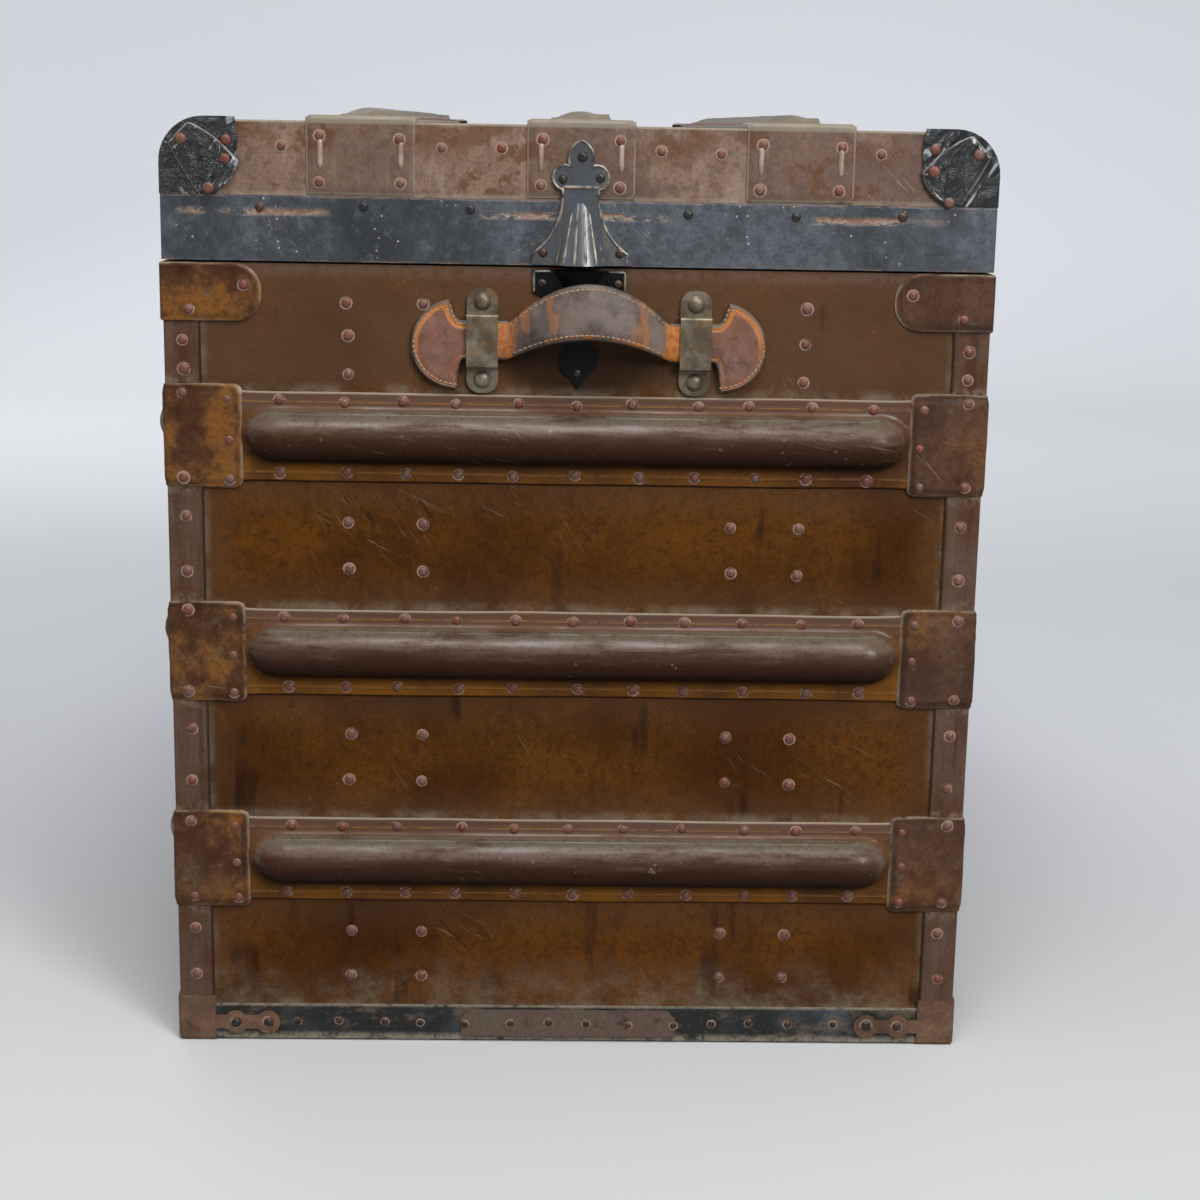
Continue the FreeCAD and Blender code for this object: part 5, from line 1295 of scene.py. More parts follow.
def ribbed_band(bm, place, half, tip, width, rib_width, rise, seed):
    """A hide band drawn over a bullet-nosed rib, creased beside it, slightly wavy and flared."""
    size = sizes()
    leather = size.band_leather
    chord = rib_width / 2
    ball = (chord * chord + rise * rise) / (2 * rise)
    fold = width * 0.39
    count = max(60, int(half * 2 / 0.005))
    rows = []
    for share in spread(count):
        along = half * (2 * share - 1)
        flare = size.band_flare * soft_step(abs(along), half - size.band_flare_run, half) ** 2
        lows = width / 2 + flare + 0.0006 * ripple(along, 0.1, 14, seed)
        highs = width / 2 + flare + 0.0006 * ripple(along, 0.7, 14, seed + 3)
        rows.append((along, -lows, highs))

    def height(u, v, edge):
        past = max(abs(v) - (tip - chord * NOSE), 0.0) / NOSE
        fillet = 0.003 + 0.003 * soft_step(u, -0.006, 0.006)
        from_line = math.hypot(past, u)
        crease = 0.0005 * math.exp(-(((abs(u) - fold) / 0.0009) ** 2))
        lift = rolled(edge, leather, 0.0013) + 0.0002 * ripple(u, v, 22, seed) + crease
        gap = min(max((from_line - chord) / fillet, 0.0), 1.0)
        lift += fillet * (1 - math.sqrt(1 - (1 - gap) ** 2))
        if from_line < ball:
            rib = leather + math.sqrt(ball * ball - from_line * from_line) - (ball - rise)
            lift = soft_most(lift, rib, 0.0015)
        dent = 0.5 + 0.5 * ripple(u * 0.5, v, 18, seed + 5)
        return lift - 0.0009 * dent * soft_step(lift, leather * 2, leather + rise)

    crown = [-math.cos(math.pi * s) * chord for s in spread(33)]
    flat = [chord + (width / 2 - chord) * s for s in spread(13)[1:]]
    columns = [-u for u in reversed(flat)] + crown + flat
    sheet(bm, place, rows, [u / width + 0.5 for u in columns], height, 0.0)


class TRUNK_OT_bands(bpy.types.Operator):
    """Ribbed hide bands round the body and along the lid"""

    bl_idname = "trunk.bands"
    bl_label = "Ribbed bands"

    def execute(self, context):
        size = sizes()
        hide = finish_of(band_hide, "band_hide", 0.0)
        names = {"left": "left_end", "front": "front", "right": "right_end", "back": "back"}
        for index, (key, face) in enumerate(FACES.items()):
            half = face.half - size.band_inset
            tip = face.half - size.rib_tip

            def fill(bm):
                for number, centre in enumerate(band_centres()):

                    def place(u, v, h):
                        return face.at(v, centre + u, h)

                    values = (half, tip, size.band_width, size.rib_width, size.rib_rise)
                    ribbed_band(bm, place, *values, index * 3 + number)

            node = names[key] + "_bands"
            build(node + "_hide", "trunk_body", [hide], fill, [node], 60)

        lid_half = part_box("lid_bands")[1][1]

        def fill_lid(bm):
            for number in LID_ROWS:

                def place(u, v, h):
                    return Vector((number * size.lid_band_pitch + u, v, LID_TOP + h))

                tip = HALF_LENGTH - size.lid_rib_tip
                values = (lid_half, tip, size.lid_band_width, size.lid_rib_width, size.lid_rib_rise)
                ribbed_band(bm, place, *values, 20 + number)

        dusty = finish_of(band_hide, "lid_band_hide", 0.6)
        build("lid_bands_hide", "lid", [dusty], fill_lid, ["lid_bands"], 60)
        return {"FINISHED"}


# Sheet length used up by half a fold, and where the fold's axis lies off the hide
BEND = 0.003
BEND_OUT = 0.0006
# Beads of a lid clamp: in from its edge, where they start, step and count
CLAMP_BEAD_INSET = 0.0095
CLAMP_BEAD = (-0.034, 0.0022, 10)


def corner_place(corner, middle):
    """Places a sheet round an upright corner: s below 0 on the end, above 0 on the long side."""
    side, end = corner

    def place(s, v, h):
        z = middle + v
        if s < -BEND:
            x = HALF_WIDTH + BEND_OUT + (s + BEND)
            return Vector((side * x, end * (HALF_LENGTH + h), z))
        if s > BEND:
            y = HALF_LENGTH + BEND_OUT - (s - BEND)
            return Vector((side * (HALF_WIDTH + h), end * y, z))
        angle = math.pi / 2 * (s + BEND) / (2 * BEND)
        reach = h - BEND_OUT
        x = HALF_WIDTH + BEND_OUT + math.sin(angle) * reach
        y = HALF_LENGTH + BEND_OUT + math.cos(angle) * reach
        return Vector((side * x, end * y, z))

    return place


def wrap_shares(leg, flat_count):
    """Column spacing for a wrapped sheet, close together round the bend."""
    outer = [-leg + (leg - BEND) * s for s in spread(flat_count)]
    bend = [BEND * (2 * i / 6 - 1) for i in range(1, 6)]
    line = outer + bend + [-u for u in reversed(outer)]
    return [(u + leg) / (2 * leg) for u in line]


def rounded_rows(tall, leg, corner, count):
    """Rows of a wrapped sheet whose four corners are rounded."""
    rows = []
    for share in spread(count):
        turn = math.sin((share - 0.5) * math.pi)
        v = tall / 2 * (0.55 * turn + 0.45 * (2 * share - 1))
        past = max(abs(v) - (tall / 2 - corner), 0.0)
        reach = leg - corner + math.sqrt(max(corner * corner - past * past, 0.0))
        rows.append((v, -reach, reach))
    return rows


class TRUNK_OT_clamps(bpy.types.Operator):
    """Corner clamps, top corner patches and lid clamps, drawn over what lies below them"""

    bl_idname = "trunk.clamps"
    bl_label = "Clamps and patches"

    def execute(self, context):
        hide = finish_of(clamp_hide)
        build("corner_clamps_hide", "trunk_body", [hide], self.clamps, ["corner_clamps"], 50)
        patches = ["top_corner_patches"]
        build("top_corner_patches_hide", "trunk_body", [hide], self.patches, patches, 50)
        finishes = [finish_of(lid_hide, "lid_clamp_hide", 0.75), finish_of(rubbed_fold_and_highlight)]
        build("lid_band_clamps_hide", "lid", finishes, self.lid_clamps, ["lid_band_clamps"], 50)
        return {"FINISHED"}

    def clamps(self, bm):
        size = sizes()
        leg = size.clamp_leg + BEND_OUT + BEND
        band = size.band_width / 2
        inset = size.band_inset
        rows = rounded_rows(size.clamp_tall, leg, size.clamp_round, 31)
        for index, corner in enumerate(CORNERS):
            for number, centre in enumerate(band_centres()):
                seed = 40 + index * 3 + number

                def height(u, v, edge):
                    drape = 0.0009 * soft_step(abs(v), band - 0.0015, band + 0.002)
                    seam = 0.0006 * soft_step(inset - abs(u), -0.0015, 0.0015)
                    crumple = 0.00025 * ripple(u, v, 60, seed) + 0.00035 * ripple(u, v, 22, seed)
                    return 0.0018 + rolled(edge, 0.0022, 0.0018) - drape - seam + crumple

                sheet(bm, corner_place(corner, centre), rows, wrap_shares(leg, 15), height, 0.0006)

    def patches(self, bm):
        size = sizes()
        leg = size.patch_leg + BEND_OUT + BEND
        tall = PATCH_HIGH[2] - PATCH_LOW[2]
        middle = (PATCH_HIGH[2] + PATCH_LOW[2]) / 2
        rows = rounded_rows(tall, leg, size.patch_round, 25)
        for index, corner in enumerate(CORNERS):

            def height(u, v, edge):
                sink = 0.0011 * soft_step(abs(u), size.band_inset, size.band_inset + 0.006)
                crumple = 0.0003 * ripple(u, v, 30, 60 + index)
                return 0.0013 + rolled(edge, 0.0021, 0.0016) - sink + crumple

            sheet(bm, corner_place(corner, middle), rows, wrap_shares(leg, 17), height, 0.0004)

    def lid_clamps(self, bm):
        size = sizes()
        half = size.lid_clamp_half
        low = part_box("lid_band_clamps")[0][2]
        bend = 0.0014
        top = LID_TOP + size.band_leather
        foot_run = top - bend - low + BEND
        reach_run = size.lid_clamp_reach - bend + BEND
        stations = [-foot_run + (foot_run - BEND) * s for s in spread(15)]
        stations += [BEND * (2 * i / 6 - 1) for i in range(1, 6)]
        stations += [BEND + (reach_run - BEND) * s for s in spread(12)]
        rows = []
        for s in stations:
            shortage = max(s - (reach_run - size.clamp_round), 0.0, -s - foot_run + size.clamp_round * 0.4)
            trim = shortage * shortage / size.clamp_round * 0.6
            rows.append((s, -half + trim, half - trim))
        for end in (-1, 1):
            for number in LID_ROWS:
                seed = 80 + number + 5 * end

                def place(u, s, h):
                    x = number * size.lid_band_pitch + u
                    if s < -BEND:
                        return Vector((x, end * (HALF_LENGTH + h), top - bend + s + BEND))
                    if s > BEND:
                        return Vector((x, end * (HALF_LENGTH - bend - (s - BEND)), top + h))
                    angle = math.pi / 2 * (s + BEND) / (2 * BEND)
                    out = math.cos(angle) * (bend + h) - bend
                    return Vector((x, end * (HALF_LENGTH + out), top - bend + math.sin(angle) * (bend + h)))

                def height(u, s, edge):
                    crumple = 0.0002 * ripple(u, s, 26, seed)
                    return rolled(edge, 0.0019, 0.0014) + crumple

                sheet(bm, place, rows, spread(27), height, 0.0)
                for side in (-1, 1):
                    across = side * (half - CLAMP_BEAD_INSET)
                    first, step, count = CLAMP_BEAD
                    line = [place(across, first + step * i, 0.0016) for i in range(count)]
                    bead(bm, line, 0.0019, 9, 1)


# Handle tabs, measured from the handle's middle: start, end of the neck, start of the round end and its
# tip, half of the neck's height, and the points of the horn above and the barb below
TAB_START = 0.0545
TAB_SHOULDER = 0.084
TAB_ROUND = 0.095
TAB_REACH = 0.119
TAB_NECK = 0.013
TAB_HORN = (0.094, 0.027)
TAB_BARB = (0.089, -0.033)
# Stitches: in from a tab's edge, thickness, half length as a share of the run, and the bead's points
STITCH_INSET = 0.0036
STITCH_RADIUS = 0.00055
STITCH_SHARE = 0.36
STITCH_POINTS = (-1, -0.5, 0, 0.5, 1)
# Handle straps: end in the loop, half length of the bow, standoff in the loops, and the run that bends
GRIP_END = 0.0635
GRIP_BOW = 0.054
GRIP_OUT = 0.006
GRIP_ROOT = 0.0625
GRIP_FREE = 0.046
# How far a strap's section is from an ellipse, up it and out of it
GRIP_SQUARE = (0.75, 0.6)


class TRUNK_OT_handles(bpy.types.Operator):
    """Stitched handle straps and tabs, and the steel loops that hold them"""

    bl_idname = "trunk.handles"
    bl_label = "Handles"

    def execute(self, context):
        dress(finish_of(loop_steel), "handle_loops", "handle_rivets")
        finishes = [finish_of(tab_hide), finish_of(thread_yarn)]
        build("handle_tabs_hide", "trunk_body", finishes, self.tabs, ["handle_tabs"], 45)
        for face in ENDS:
            for side in (-1, 1):
                self.half_grip(face, side)
        return {"FINISHED"}

    def tab_edges(self, x):
        """Lower and upper edge of a tab at a distance from the handle's middle."""
        if x <= TAB_SHOULDER:
            return -TAB_NECK, TAB_NECK
        centre, radius = circle_through(TAB_HORN, (TAB_REACH, 0.0), TAB_BARB)
        swing = math.sqrt(max(radius * radius - (x - centre[0]) ** 2, 0.0))
        high = centre[1] + swing
        low = centre[1] - swing
        if x < TAB_HORN[0]:
            share = (x - TAB_SHOULDER) / (TAB_HORN[0] - TAB_SHOULDER)
            high = TAB_NECK + (TAB_HORN[1] - TAB_NECK) * share**3
        if x < TAB_BARB[0]:
            share = (x - TAB_SHOULDER) / (TAB_BARB[0] - TAB_SHOULDER)
            low = -TAB_NECK + (TAB_BARB[1] + TAB_NECK) * share**3
        return low, high

    def tabs(self, bm):
        size = sizes()
        stations = [TAB_START + (TAB_SHOULDER - TAB_START) * s for s in spread(8)]
        stations += [TAB_SHOULDER + (TAB_ROUND - TAB_SHOULDER) * s for s in spread(13)[1:]]
        tip = TAB_REACH - TAB_ROUND - 0.0001
        stations += [TAB_ROUND + tip * math.sin(s * math.pi / 2) for s in spread(20)[1:]]
        rows = [(x, *self.tab_edges(x)) for x in stations]
        for face in ENDS:
            for side in (-1, 1):

                def place(u, v, h):
                    return face.at(HANDLE_ASIDE + side * v, HANDLE_UP + u, h)

                def height(u, v, edge):
                    groove = 0.0008 * math.exp(-(((edge - STITCH_INSET) / 0.0009) ** 2))
                    swell = 0.0006 * ripple(u, v, 45, 90 + side)
                    return rolled(edge, size.strap_thick, 0.0028) - groove + swell

                sheet(bm, place, rows, spread(31), height, 0.0)
                self.stitch_border(bm, place, rows)

    def stitch_border(self, bm, place, rows):
        """A run of stitches a little inside a tab's round edge."""
        size = sizes()
        outer = [(v - STITCH_INSET * 0.3, low, high) for v, low, high in rows if v > 0.09]
        line = [(low + STITCH_INSET, v) for v, low, high in outer]
        line += [(high - STITCH_INSET, v) for v, low, high in reversed(outer)]
        run = 0.0
        points = []
        for first, second in zip(line, line[1:]):
            step = math.hypot(second[0] - first[0], second[1] - first[1])
            while run < step:
                share = run / step
                spot = [a + (b - a) * share for a, b in zip(first, second)]
                points.append((spot, first, second))
                run += size.stitch_run
            run -= step
        for spot, first, second in points:
            way = Vector((second[0] - first[0], second[1] - first[1]))
            if way.length < 1e-6:
                continue
            way = way.normalized() * size.stitch_run * STITCH_SHARE
            ends = [(spot[0] + way.x * t, spot[1] + way.y * t) for t in STITCH_POINTS]
            lift = size.strap_thick - 0.0006
            bead(bm, [place(u, v, lift) for u, v in ends], STITCH_RADIUS, 5, 1)

    def half_grip(self, face, side):
        """Half of the bowed, padded strap; it bends where it leaves its loop."""
        size = sizes()
        count, around = 30, 30

        def point(x, angle):
            """A point of the skin, and its share of the way up the strap's face."""
            share = min(x / GRIP_BOW, 1.0)
            lift = 1 - share * share
            tall = (0.024 + 0.013 * lift) / 2
            thick = (0.0055 + 0.0035 * lift) / 2
            c, sn = math.cos(angle), math.sin(angle)
            across = math.copysign(abs(sn) ** GRIP_SQUARE[0], sn)
            front = math.copysign(abs(c) ** GRIP_SQUARE[1], c)
            out = GRIP_OUT + 0.024 * lift + thick * front
            up = HANDLE_UP + 0.022 * lift + tall * across
            wear = 0.0003 * ripple(x * side, across * 0.02, 60, 100 + side) - 0.0004
            return face.at(HANDLE_ASIDE + side * x, up, out + wear), across

        def fill(bm):
            along_layer = bm.verts.layers.float["along"]
            across_layer = bm.verts.layers.float["across"]
            rings = []
            for share in spread(count):
                x = GRIP_END * (1 - share)
                ring = []
                for k in range(around):
                    spot, across = point(x, 2 * math.pi * k / around)
                    vertex = bm.verts.new(spot)
                    vertex[along_layer] = side * min(x / GRIP_BOW, 1.0)
                    vertex[across_layer] = across
                    ring.append(vertex)
                rings.append(ring)
            quads(bm, rings, closed=True)
            bm.faces.new(rings[0])
            bm.faces.new(rings[-1])
            half = size.stitch_run * STITCH_SHARE
            x = 0.0018
            while x < 0.05:
                for level in (-0.8, 0.82):
                    angle = math.asin(math.copysign(abs(level) ** (1 / GRIP_SQUARE[0]), level))
                    line = [point(x + t * half, angle)[0] for t in STITCH_POINTS]
                    bead(bm, line, STITCH_RADIUS, 5, 1)
                x += size.stitch_run

        label = "far" if side > 0 else "near"
        body = face.name + "_handle"
        name = "%s_%s_strap" % (body, label)
        finishes = [finish_of(strap_hide), finish_of(thread_yarn)]
        piece = build(name, None, finishes, fill, [body + "_grip"], 50)
        root = face.at(HANDLE_ASIDE + side * GRIP_ROOT, HANDLE_UP, GRIP_OUT)
        free = face.at(HANDLE_ASIDE + side * GRIP_FREE, HANDLE_UP, GRIP_OUT)
        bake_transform(piece, "trunk_body", body, start=tuple(root), end=tuple(free))


def circle_through(a, b, c):
    """Centre and radius of the circle through three points."""
    ax, ay = a
    bx, by = b
    cx, cy = c
    d = 2 * (ax * (by - cy) + bx * (cy - ay) + cx * (ay - by))
    a2, b2, c2 = ax * ax + ay * ay, bx * bx + by * by, cx * cx + cy * cy
    x = (a2 * (by - cy) + b2 * (cy - ay) + c2 * (ay - by)) / d
    y = (a2 * (cx - bx) + b2 * (ax - cx) + c2 * (bx - ax)) / d
    return (x, y), math.hypot(ax - x, ay - y)


def arc(a, b, c, count):
    """Points along the arc from a through b to c."""
    (x, y), radius = circle_through(a, b, c)
    turns = [math.atan2(p[1] - y, p[0] - x) for p in (a, b, c)]
    ccw = ((turns[1] - turns[0]) % math.tau) < ((turns[2] - turns[0]) % math.tau)
    sweep = (turns[2] - turns[0]) % math.tau if ccw else -((turns[0] - turns[2]) % math.tau)
    angles = [turns[0] + sweep * s for s in spread(count)]
    return [(x + radius * math.cos(t), y + radius * math.sin(t)) for t in angles]


# Dowels: side, place along it, and where the lid's half sits off the hide
DOWELS = (("left", 0.0, 0.002), ("right", 0.0, 0.002), ("front", -0.25, 0.0016), ("front", 0.25, 0.0016))
# Thickness of steel plates, and how far the black caps stand off the lid
PLATE = 0.002
CAP_OUT = 0.002
# A dowel's cone: how far its axis is sunk, its radius at foot and top, and its height
CONE_SUNK = 0.006
CONE_FOOT = 0.019
CONE_TOP = 0.0065
CONE_TALL = 0.047
FLUTES = (-58, -36, -12, 12, 36, 58)
# Height of a dowel's body half, from its lowest point to its straight upper edge
BASE_TALL = 0.0795


class TRUNK_OT_fittings(bpy.types.Operator):
    """Dowels, hinges, lock and hasp"""

    bl_idname = "trunk.fittings"
    bl_label = "Steel and brass fittings"

    def execute(self, context):
        bright = finish_of(dowel_steel, "dowel_steel", "dowel", "black_worn", 0.42)
        # The body halves of the dowels get a darker copy of the dowel steel: black steel, darkened further
        # as painted shade
        dark = finish_of(dowel_steel, "socket_steel", "base_black", "black_hide", 0.04)
        dress(bright, "dowel_bells", "hinge_body_leaves", "hinge_lid_leaves")
        dress(dark, "dowel_bases")
        dress(finish_of(loop_steel), "hinge_pins", "hasp_pin")
        dress(finish_of(old_brass), "lock_plate", "hasp_plate", "lock_hasp")
        worn = [finish_of(rubbed_steel)]
        build("dowel_beads", "lid", worn, self.bell_beads, ())
        build("dowel_base_beads", "trunk_body", worn, self.base_beads, ())
        build("lid_cap_tongues", "lid", [finish_of(black_cap_hide)], self.tongues, (), 60)
        return {"FINISHED"}

    def bell_outline(self):
        """Half of a bell's edge, from its foot to its tip, across and up from the lid's edge."""
        waist, neck, tip = (0.0127, 0.050), (0.0075, 0.065), (0.0, 0.082)
        line = [(0.032, 0.0008), (0.032, 0.0045)]
        line += arc((0.032, 0.008), (0.0195, 0.021), waist, 16)
        line += arc(waist, (0.019, 0.057), neck, 16)[1:]
        line += arc(neck, (0.0085, 0.073), tip, 12)[1:]
        return line

    def bell_beads(self, bm):
        """Raised rims, a ledge and flutes on the lid halves of the dowels."""
        rim = 0.0006
        for key, along, seat in DOWELS:
            face = FACES[key]

            def at(across, up, out):
                return face.at(along + across, SKIRT_FOOT + up, seat + out)

            for side in (-1, 1):
                outline = [(a - rim if a > rim else a, u) for a, u in self.bell_outline()]
                bead(bm, [at(side * a, u, PLATE) for a, u in outline], 0.0009)
            bead(bm, [at(-0.0125 + 0.0025 * i, 0.0515, PLATE) for i in range(11)], 0.0011)
            for flute in FLUTES:
                turn = math.radians(flute)
                line = []
                for share in spread(14):
                    up = 0.0012 + (CONE_TALL - 0.003) * share
                    radius = CONE_FOOT + (CONE_TOP - CONE_FOOT) * up / CONE_TALL
                    out = radius * math.cos(turn) - CONE_SUNK
                    if out > PLATE - 0.0004:
                        line.append(at(radius * math.sin(turn), up, out - 0.0002))
                if len(line) > 3:
                    bead(bm, line, 0.0012, end_radius=0.0006)

    def base_beads(self, bm):
        """Raised edges on the body halves of the dowels."""
        top = SOCKET_LOW[2] + BASE_TALL
        for key, along, _ in DOWELS:
            face = FACES[key]
            for side in (-1, 1):
                shelf = [(0.0195 + 0.0014 * i, 0.0009) for i in range(9)]
                drop = [(0.0304, 0.001 + 0.0015 * i) for i in range(10)]
                for line in (shelf, drop):
                    bead(bm, [face.at(along + side * a, top - d, PLATE) for a, d in line], 0.0008)

    def tongues(self, bm):
        """Folded flaps of the corner caps on the lid's ends."""
        left = arc((0.0062, -0.0175), (0.0135, -0.0316), (0.025, -0.0495), 24)
        right = arc((0.0195, -0.0035), (0.0395, -0.0150), (0.0525, -0.0285), 16)
        right += arc((0.0525, -0.0285), (0.0475, -0.0402), (0.0357, -0.0485), 9)[1:]
        wide, long, last = 0.03, 0.046, len(left) - 1
        rows = [(long * s, 0.0, wide) for s in spread(last + 1)]
        for face in ENDS:
            for side in (-1, 1):
                seed = 120 + side

                def place(u, v, h):
                    index = v / long * last
                    low = min(int(index), last - 1)
                    part = index - low
                    share = u / wide
                    spot = []
                    for axis in (0, 1):
                        a = left[low][axis] + (left[low + 1][axis] - left[low][axis]) * part
                        b = right[low][axis] + (right[low + 1][axis] - right[low][axis]) * part
                        spot.append(a + (b - a) * share)
                    along = side * (HALF_WIDTH + CAP_OUT - spot[0])
                    return face.at(along, LID_TOP + CAP_OUT + spot[1], 0.0019 + h)

                def height(u, v, edge):
                    ridge = 0.0006 * math.sin((u * 1.2 + v * 0.4) * 520 + 2 * ripple(u, v, 60, seed))
                    return rolled(edge, 0.0017, 0.0016) + ridge * soft_step(edge, 0.001, 0.006)

                sheet(bm, place, rows, spread(22), height, -0.0003)


# How far nailed surfaces stand off the hide
CLAMP_OUT = 0.0034
BINDING_OUT = 0.0015
OVERLAY_OUT = 0.003
LOCK_OUT = 0.0025
SKIRT_OUT = 0.0016
LEAF_OUT = 0.0036
LID_CLAMP_OUT = 0.0019
# Nails of the fields, along an end and along a side, and off the middle of each field
END_COLUMNS = (-0.155, -0.105, 0.107, 0.153)
SIDE_COLUMNS = (-0.335, -0.285, -0.135, -0.085, 0.085, 0.135, 0.285, 0.335)
FIELD_NAIL = 0.0165
# Band edge to the nails of its rows
BAND_NAIL = 0.0062
# Nails of a clamp: in from the trunk's corner, and up from the band's middle
CLAMP_NAILS = ((0.010, 0.0285), (0.041, 0.0245), (0.042, -0.002), (0.010, -0.0275), (0.041, -0.0285))
# Nails of a top corner patch: in from the trunk's corner, up from the patch's foot, and off the hide
PATCH_NAILS = ((0.052, 0.024, 0.0023), (0.016, 0.008, 0.0032))
# Nails of a binding, as shares of the way up between two bands
BINDING_NAILS = (0.3, 0.72)
# Outer nails of the top field, down from the rim
RIM_NAILS = (0.025, 0.048, 0.074)
# Nails of a black cap: in from its side, down from its top, and off the hide
CAP_NAILS = (
    (0.0145, 0.0157, 0.0036),
    (0.044, 0.0145, 0.002),
    (0.0445, 0.0278, 0.0036),
    (0.0335, 0.047, 0.0034),
)
# Nail to nail along the foot, the skirt and the long sides of the lid
FOOT_PITCH = 0.030
SKIRT_PITCH = 0.072
LID_PITCH = 0.123
# Hinges along the back, and the nails to each side of a hinge's middle
HINGES = (-0.29, 0.0, 0.29)
HINGE_NAIL = 0.021


class TRUNK_OT_nails(bpy.types.Operator):
    """Nail heads on bands, fields, clamps, skirt, lid and foot"""

    bl_idname = "trunk.nails"
    bl_label = "Nails"

    def execute(self, context):
        copper = finish_of(nail_copper)
        black = finish_of(nail_black)
        on_hide = finish_of(nail_collar, "brown_nail_ring", "band", 1.0)
        on_lid = finish_of(nail_collar, "pink_nail_ring", "lid", 0.8)
        on_paint = finish_of(nail_collar, "black_nail_ring", "skirt", 0.5)
        for key, face in FACES.items():

            def fill(bm):
                self.face_nails(bm, key, face)

            build(key + "_nails", "trunk_body", [copper, on_hide], fill, ())
        build("foot_nails", "trunk_body", [black, on_hide], self.foot_nails, ())
        build("body_fitting_nails", "trunk_body", [black, on_paint], self.body_fittings, ())
        build("lid_nails", "lid", [copper, on_lid], self.lid_nails, ())
        build("skirt_nails", "lid", [black, on_paint], self.skirt_nails, ())
        return {"FINISHED"}

    def row(self, chance, low, high, pitch):
        count = max(2, round((high - low) / pitch) + 1)
        step = (high - low) / (count - 1)
        return [low + step * i + chance.uniform(-0.0035, 0.0035) for i in range(count)]

    def setter(self, bm, face, chance, collar=True):
        """A function that drives one nail into a face."""
        size = sizes()

        def put(along, up, out, scale=1.0):
            point = face.at(along + chance.uniform(-1, 1) * MM, up + chance.uniform(-1, 1) * MM, out)
            nail(bm, point, face.out, size.nail_radius * scale, size.nail_rise * scale, chance, collar)

        return put

    def face_nails(self, bm, key, face):
        size = sizes()
        chance = random.Random("nails " + key)
        put = self.setter(bm, face, chance)
        centres = band_centres()
        span = face.half - 0.077
        for centre in centres:
            for side in (-1, 1):
                for along in self.row(chance, -span, span, size.nail_pitch):
                    put(along, centre + side * (size.band_width / 2 - BAND_NAIL), size.band_leather)
        columns = END_COLUMNS if face in ENDS else SIDE_COLUMNS
        floors = [BASE_HIGH[2]] + [c + size.band_width / 2 for c in centres]
        tops = [c - size.band_width / 2 for c in centres]
        for low, high in zip(floors, tops):
            middle = (low + high) / 2
            for along in columns:
                put(along, middle + FIELD_NAIL, 0.0)
                put(along, middle - FIELD_NAIL, 0.0)
        for along in (columns[0], columns[-1]):
            for drop in RIM_NAILS:
                put(along, RIM - drop, 0.0)
        put(columns[1], RIM - 0.026, 0.0)
        for side in (-1, 1):
            for centre in centres:
                for across, up in CLAMP_NAILS:
                    put(side * (face.half - across), centre + up, CLAMP_OUT)
            for across, up, out in PATCH_NAILS:
                put(side * (face.half - across), PATCH_LOW[2] + up, out)
            for low, high in zip(floors, tops + [PATCH_LOW[2]]):
                for share in BINDING_NAILS:
                    put(side * (face.half - 0.0115), low + (high - low) * share, BINDING_OUT)

    def foot_nails(self, bm):
        middle = (BASE_HIGH[2] + BASE_LOW[2]) / 2
        for key, face in FACES.items():
            chance = random.Random("foot nails " + key)
            put = self.setter(bm, face, chance)
            span = face.half - 0.085
            for along in self.row(chance, -span, span, FOOT_PITCH):
                put(along, middle, OVERLAY_OUT if abs(along) < 0.077 else BINDING_OUT, 0.8)
            for side in (-1, 1):
                for across in (0.038, 0.061):
                    put(side * (face.half - across), 0.014, OVERLAY_OUT, 1.05)

    def body_fittings(self, bm):
        chance = random.Random("body fitting nails")
        for key, along, _ in DOWELS:
            put = self.setter(bm, FACES[key], chance, False)
            for side in (-1, 1):
                put(along + side * 0.025, SOCKET_LOW[2] + 0.0715, PLATE)
            put(along, SOCKET_LOW[2] + 0.011, PLATE, 0.9)
        put = self.setter(bm, FACES["back"], chance, False)
        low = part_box("hinge_body_leaves")[0][2]
        for along in HINGES:
            for side in (-1, 1):
                for up in (0.008, 0.026):
                    put(along + side * HINGE_NAIL, low + up, PLATE)
        put = self.setter(bm, FACES["front"], chance, False)
        low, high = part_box("lock_plate")
        for side in (-1, 1):
            for up in (low[2] + 0.008, high[2] - 0.008):
                put(side * 0.027, up, LOCK_OUT, 0.9)

    def lid_nails(self, bm):
        size = sizes()
        chance = random.Random("lid nails")
        pitch = size.lid_band_pitch
        half = size.lid_clamp_half
        for face in ENDS:
            put = self.setter(bm, face, chance)
            for number in LID_ROWS:
                for side in (-1, 1):
                    across = number * pitch + side * (half - CLAMP_BEAD_INSET)
                    put(across, LID_TOP - 0.0105, LID_CLAMP_OUT)
                    put(across, LID_TOP - 0.0395, LID_CLAMP_OUT)
                    put(number * pitch + side * (half + 0.0165), LID_TOP - 0.016, 0.0, 0.95)
        span = HALF_LENGTH - 0.08
        for number in LID_ROWS:
            for side in (-1, 1):
                across = number * pitch + side * (size.lid_band_width / 2 - BAND_NAIL)
                for along in self.row(chance, -span, span, size.nail_pitch):
                    point = Vector((across, along, LID_TOP + size.band_leather))
                    nail(bm, point, (0, 0, 1), size.nail_radius, size.nail_rise, chance)
        for face in ENDS:
            put = self.setter(bm, face, chance, False)
            for side in (-1, 1):
                for across, drop, out in CAP_NAILS:
                    put(side * (HALF_WIDTH + CAP_OUT - across), LID_TOP + CAP_OUT - drop, out, 1.15)
        for key in ("front", "back"):
            put = self.setter(bm, FACES[key], chance)
            for along in self.row(chance, -0.37, 0.37, LID_PITCH):
                put(along, SKIRT_TOP + 0.0105, 0.0)

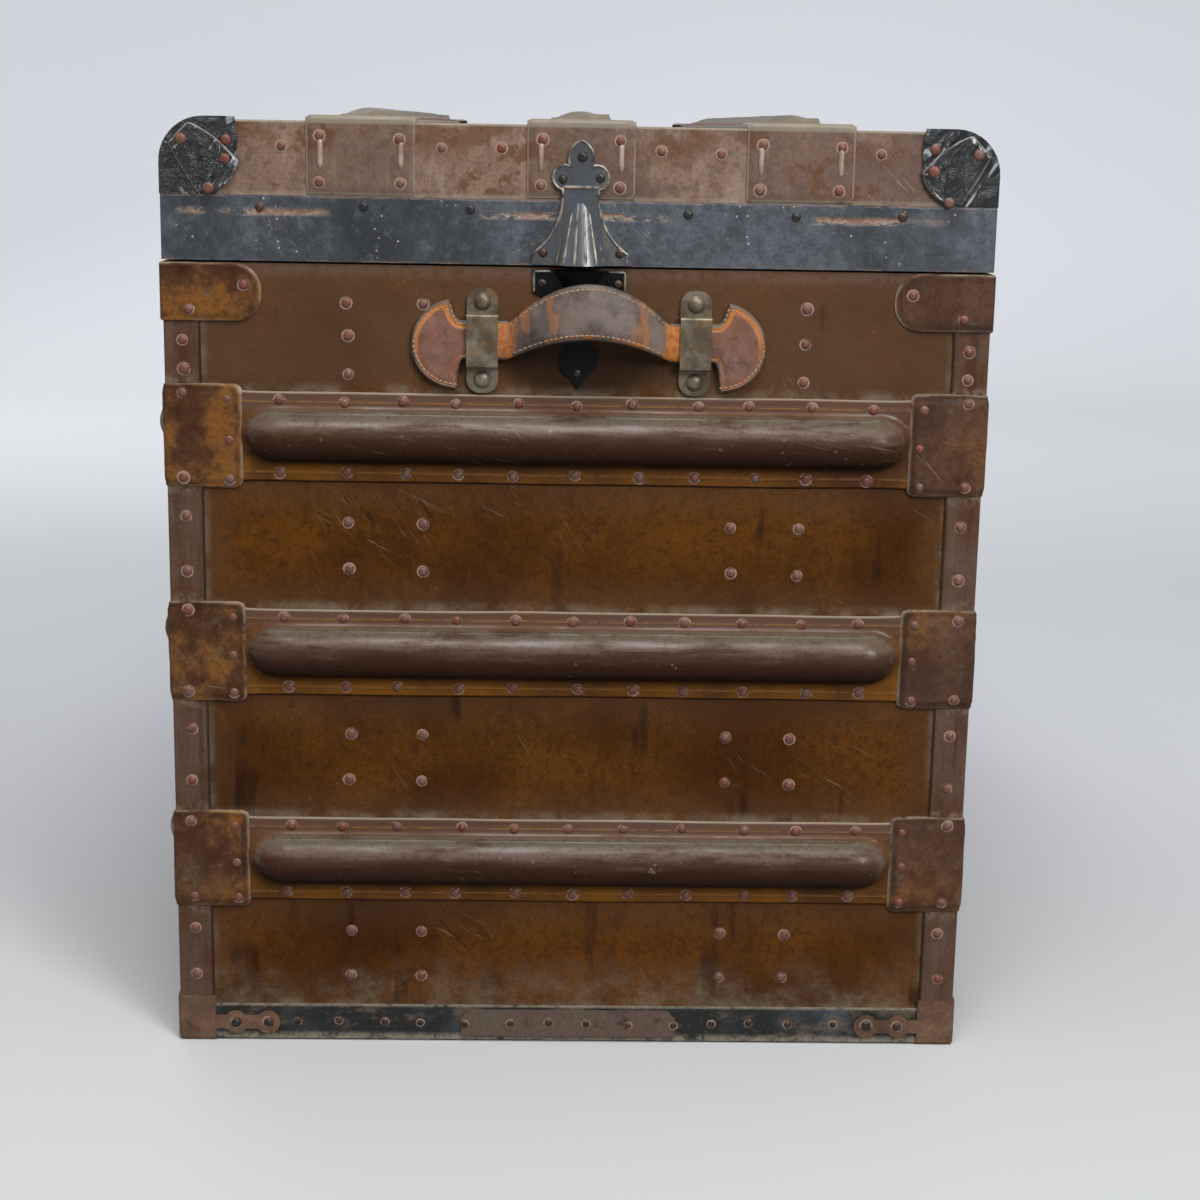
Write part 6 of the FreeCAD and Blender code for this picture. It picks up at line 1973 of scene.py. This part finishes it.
    def skirt_nails(self, bm):
        chance = random.Random("skirt nails")
        for key, face in FACES.items():
            put = self.setter(bm, face, chance, False)
            span = face.half - 0.06
            for along in self.row(chance, -span, span, SKIRT_PITCH):
                if all(key != k or abs(along - a) > 0.03 for k, a, _ in DOWELS):
                    put(along, SKIRT_TOP - 0.0075, SKIRT_OUT)
        for key, along, seat in DOWELS:
            put = self.setter(bm, FACES[key], chance, False)
            for side in (-1, 1):
                put(along + side * 0.0125, SKIRT_FOOT + 0.057, seat + PLATE, 0.95)
                put(along + side * 0.0255, SKIRT_FOOT + 0.009, seat + PLATE, 0.95)
            put(along, SKIRT_FOOT + 0.0715, seat + PLATE, 0.95)
        put = self.setter(bm, FACES["back"], chance, False)
        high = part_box("hinge_lid_leaves")[1][2]
        for along in HINGES:
            for side in (-1, 1):
                for drop in (0.008, 0.022):
                    put(along + side * HINGE_NAIL, high - drop, LEAF_OUT)
        put = self.setter(bm, FACES["front"], chance, False)
        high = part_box("hasp_plate")[1][2]
        for side in (-1, 1):
            put(side * 0.0205, high - 0.0065, LEAF_OUT, 0.9)


class TRUNK_PT_panel(bpy.types.Panel):
    """Lists the trunk's pieces in the sidebar"""

    bl_idname = "TRUNK_PT_panel"
    bl_label = "Travelling Trunk"
    bl_space_type = "VIEW_3D"
    bl_region_type = "UI"
    bl_category = "Trunk"

    def draw(self, context):
        for operator in OPERATORS:
            self.layout.operator(operator.bl_idname)
        for group in (sizes(), colours(), stage_values()):
            box = self.layout.box()
            for name in group.bl_rna.properties.keys():
                if name not in ("rna_type", "name"):
                    box.prop(group, name)


OPERATORS = (
    TRUNK_OT_stage,
    TRUNK_OT_case,
    TRUNK_OT_hides,
    TRUNK_OT_bands,
    TRUNK_OT_clamps,
    TRUNK_OT_handles,
    TRUNK_OT_fittings,
    TRUNK_OT_nails,
)
GROUPS = {"trunk_sizes": TrunkSizes, "trunk_colours": TrunkColours, "trunk_stage": TrunkStage}


def register():
    for item in (*GROUPS.values(), *OPERATORS, TRUNK_PT_panel):
        bpy.utils.register_class(item)
    for name, group in GROUPS.items():
        setattr(bpy.types.Scene, name, bpy.props.PointerProperty(type=group))


def unregister():
    for name in GROUPS:
        delattr(bpy.types.Scene, name)
    for item in (TRUNK_PT_panel, *reversed(OPERATORS), *GROUPS.values()):
        bpy.utils.unregister_class(item)


def main():
    register()
    bpy.ops.trunk.stage()
    bpy.ops.trunk.case()
    bpy.ops.trunk.hides()
    bpy.ops.trunk.bands()
    bpy.ops.trunk.clamps()
    bpy.ops.trunk.handles()
    bpy.ops.trunk.fittings()
    bpy.ops.trunk.nails()


if __name__ == "__main__":
    main()
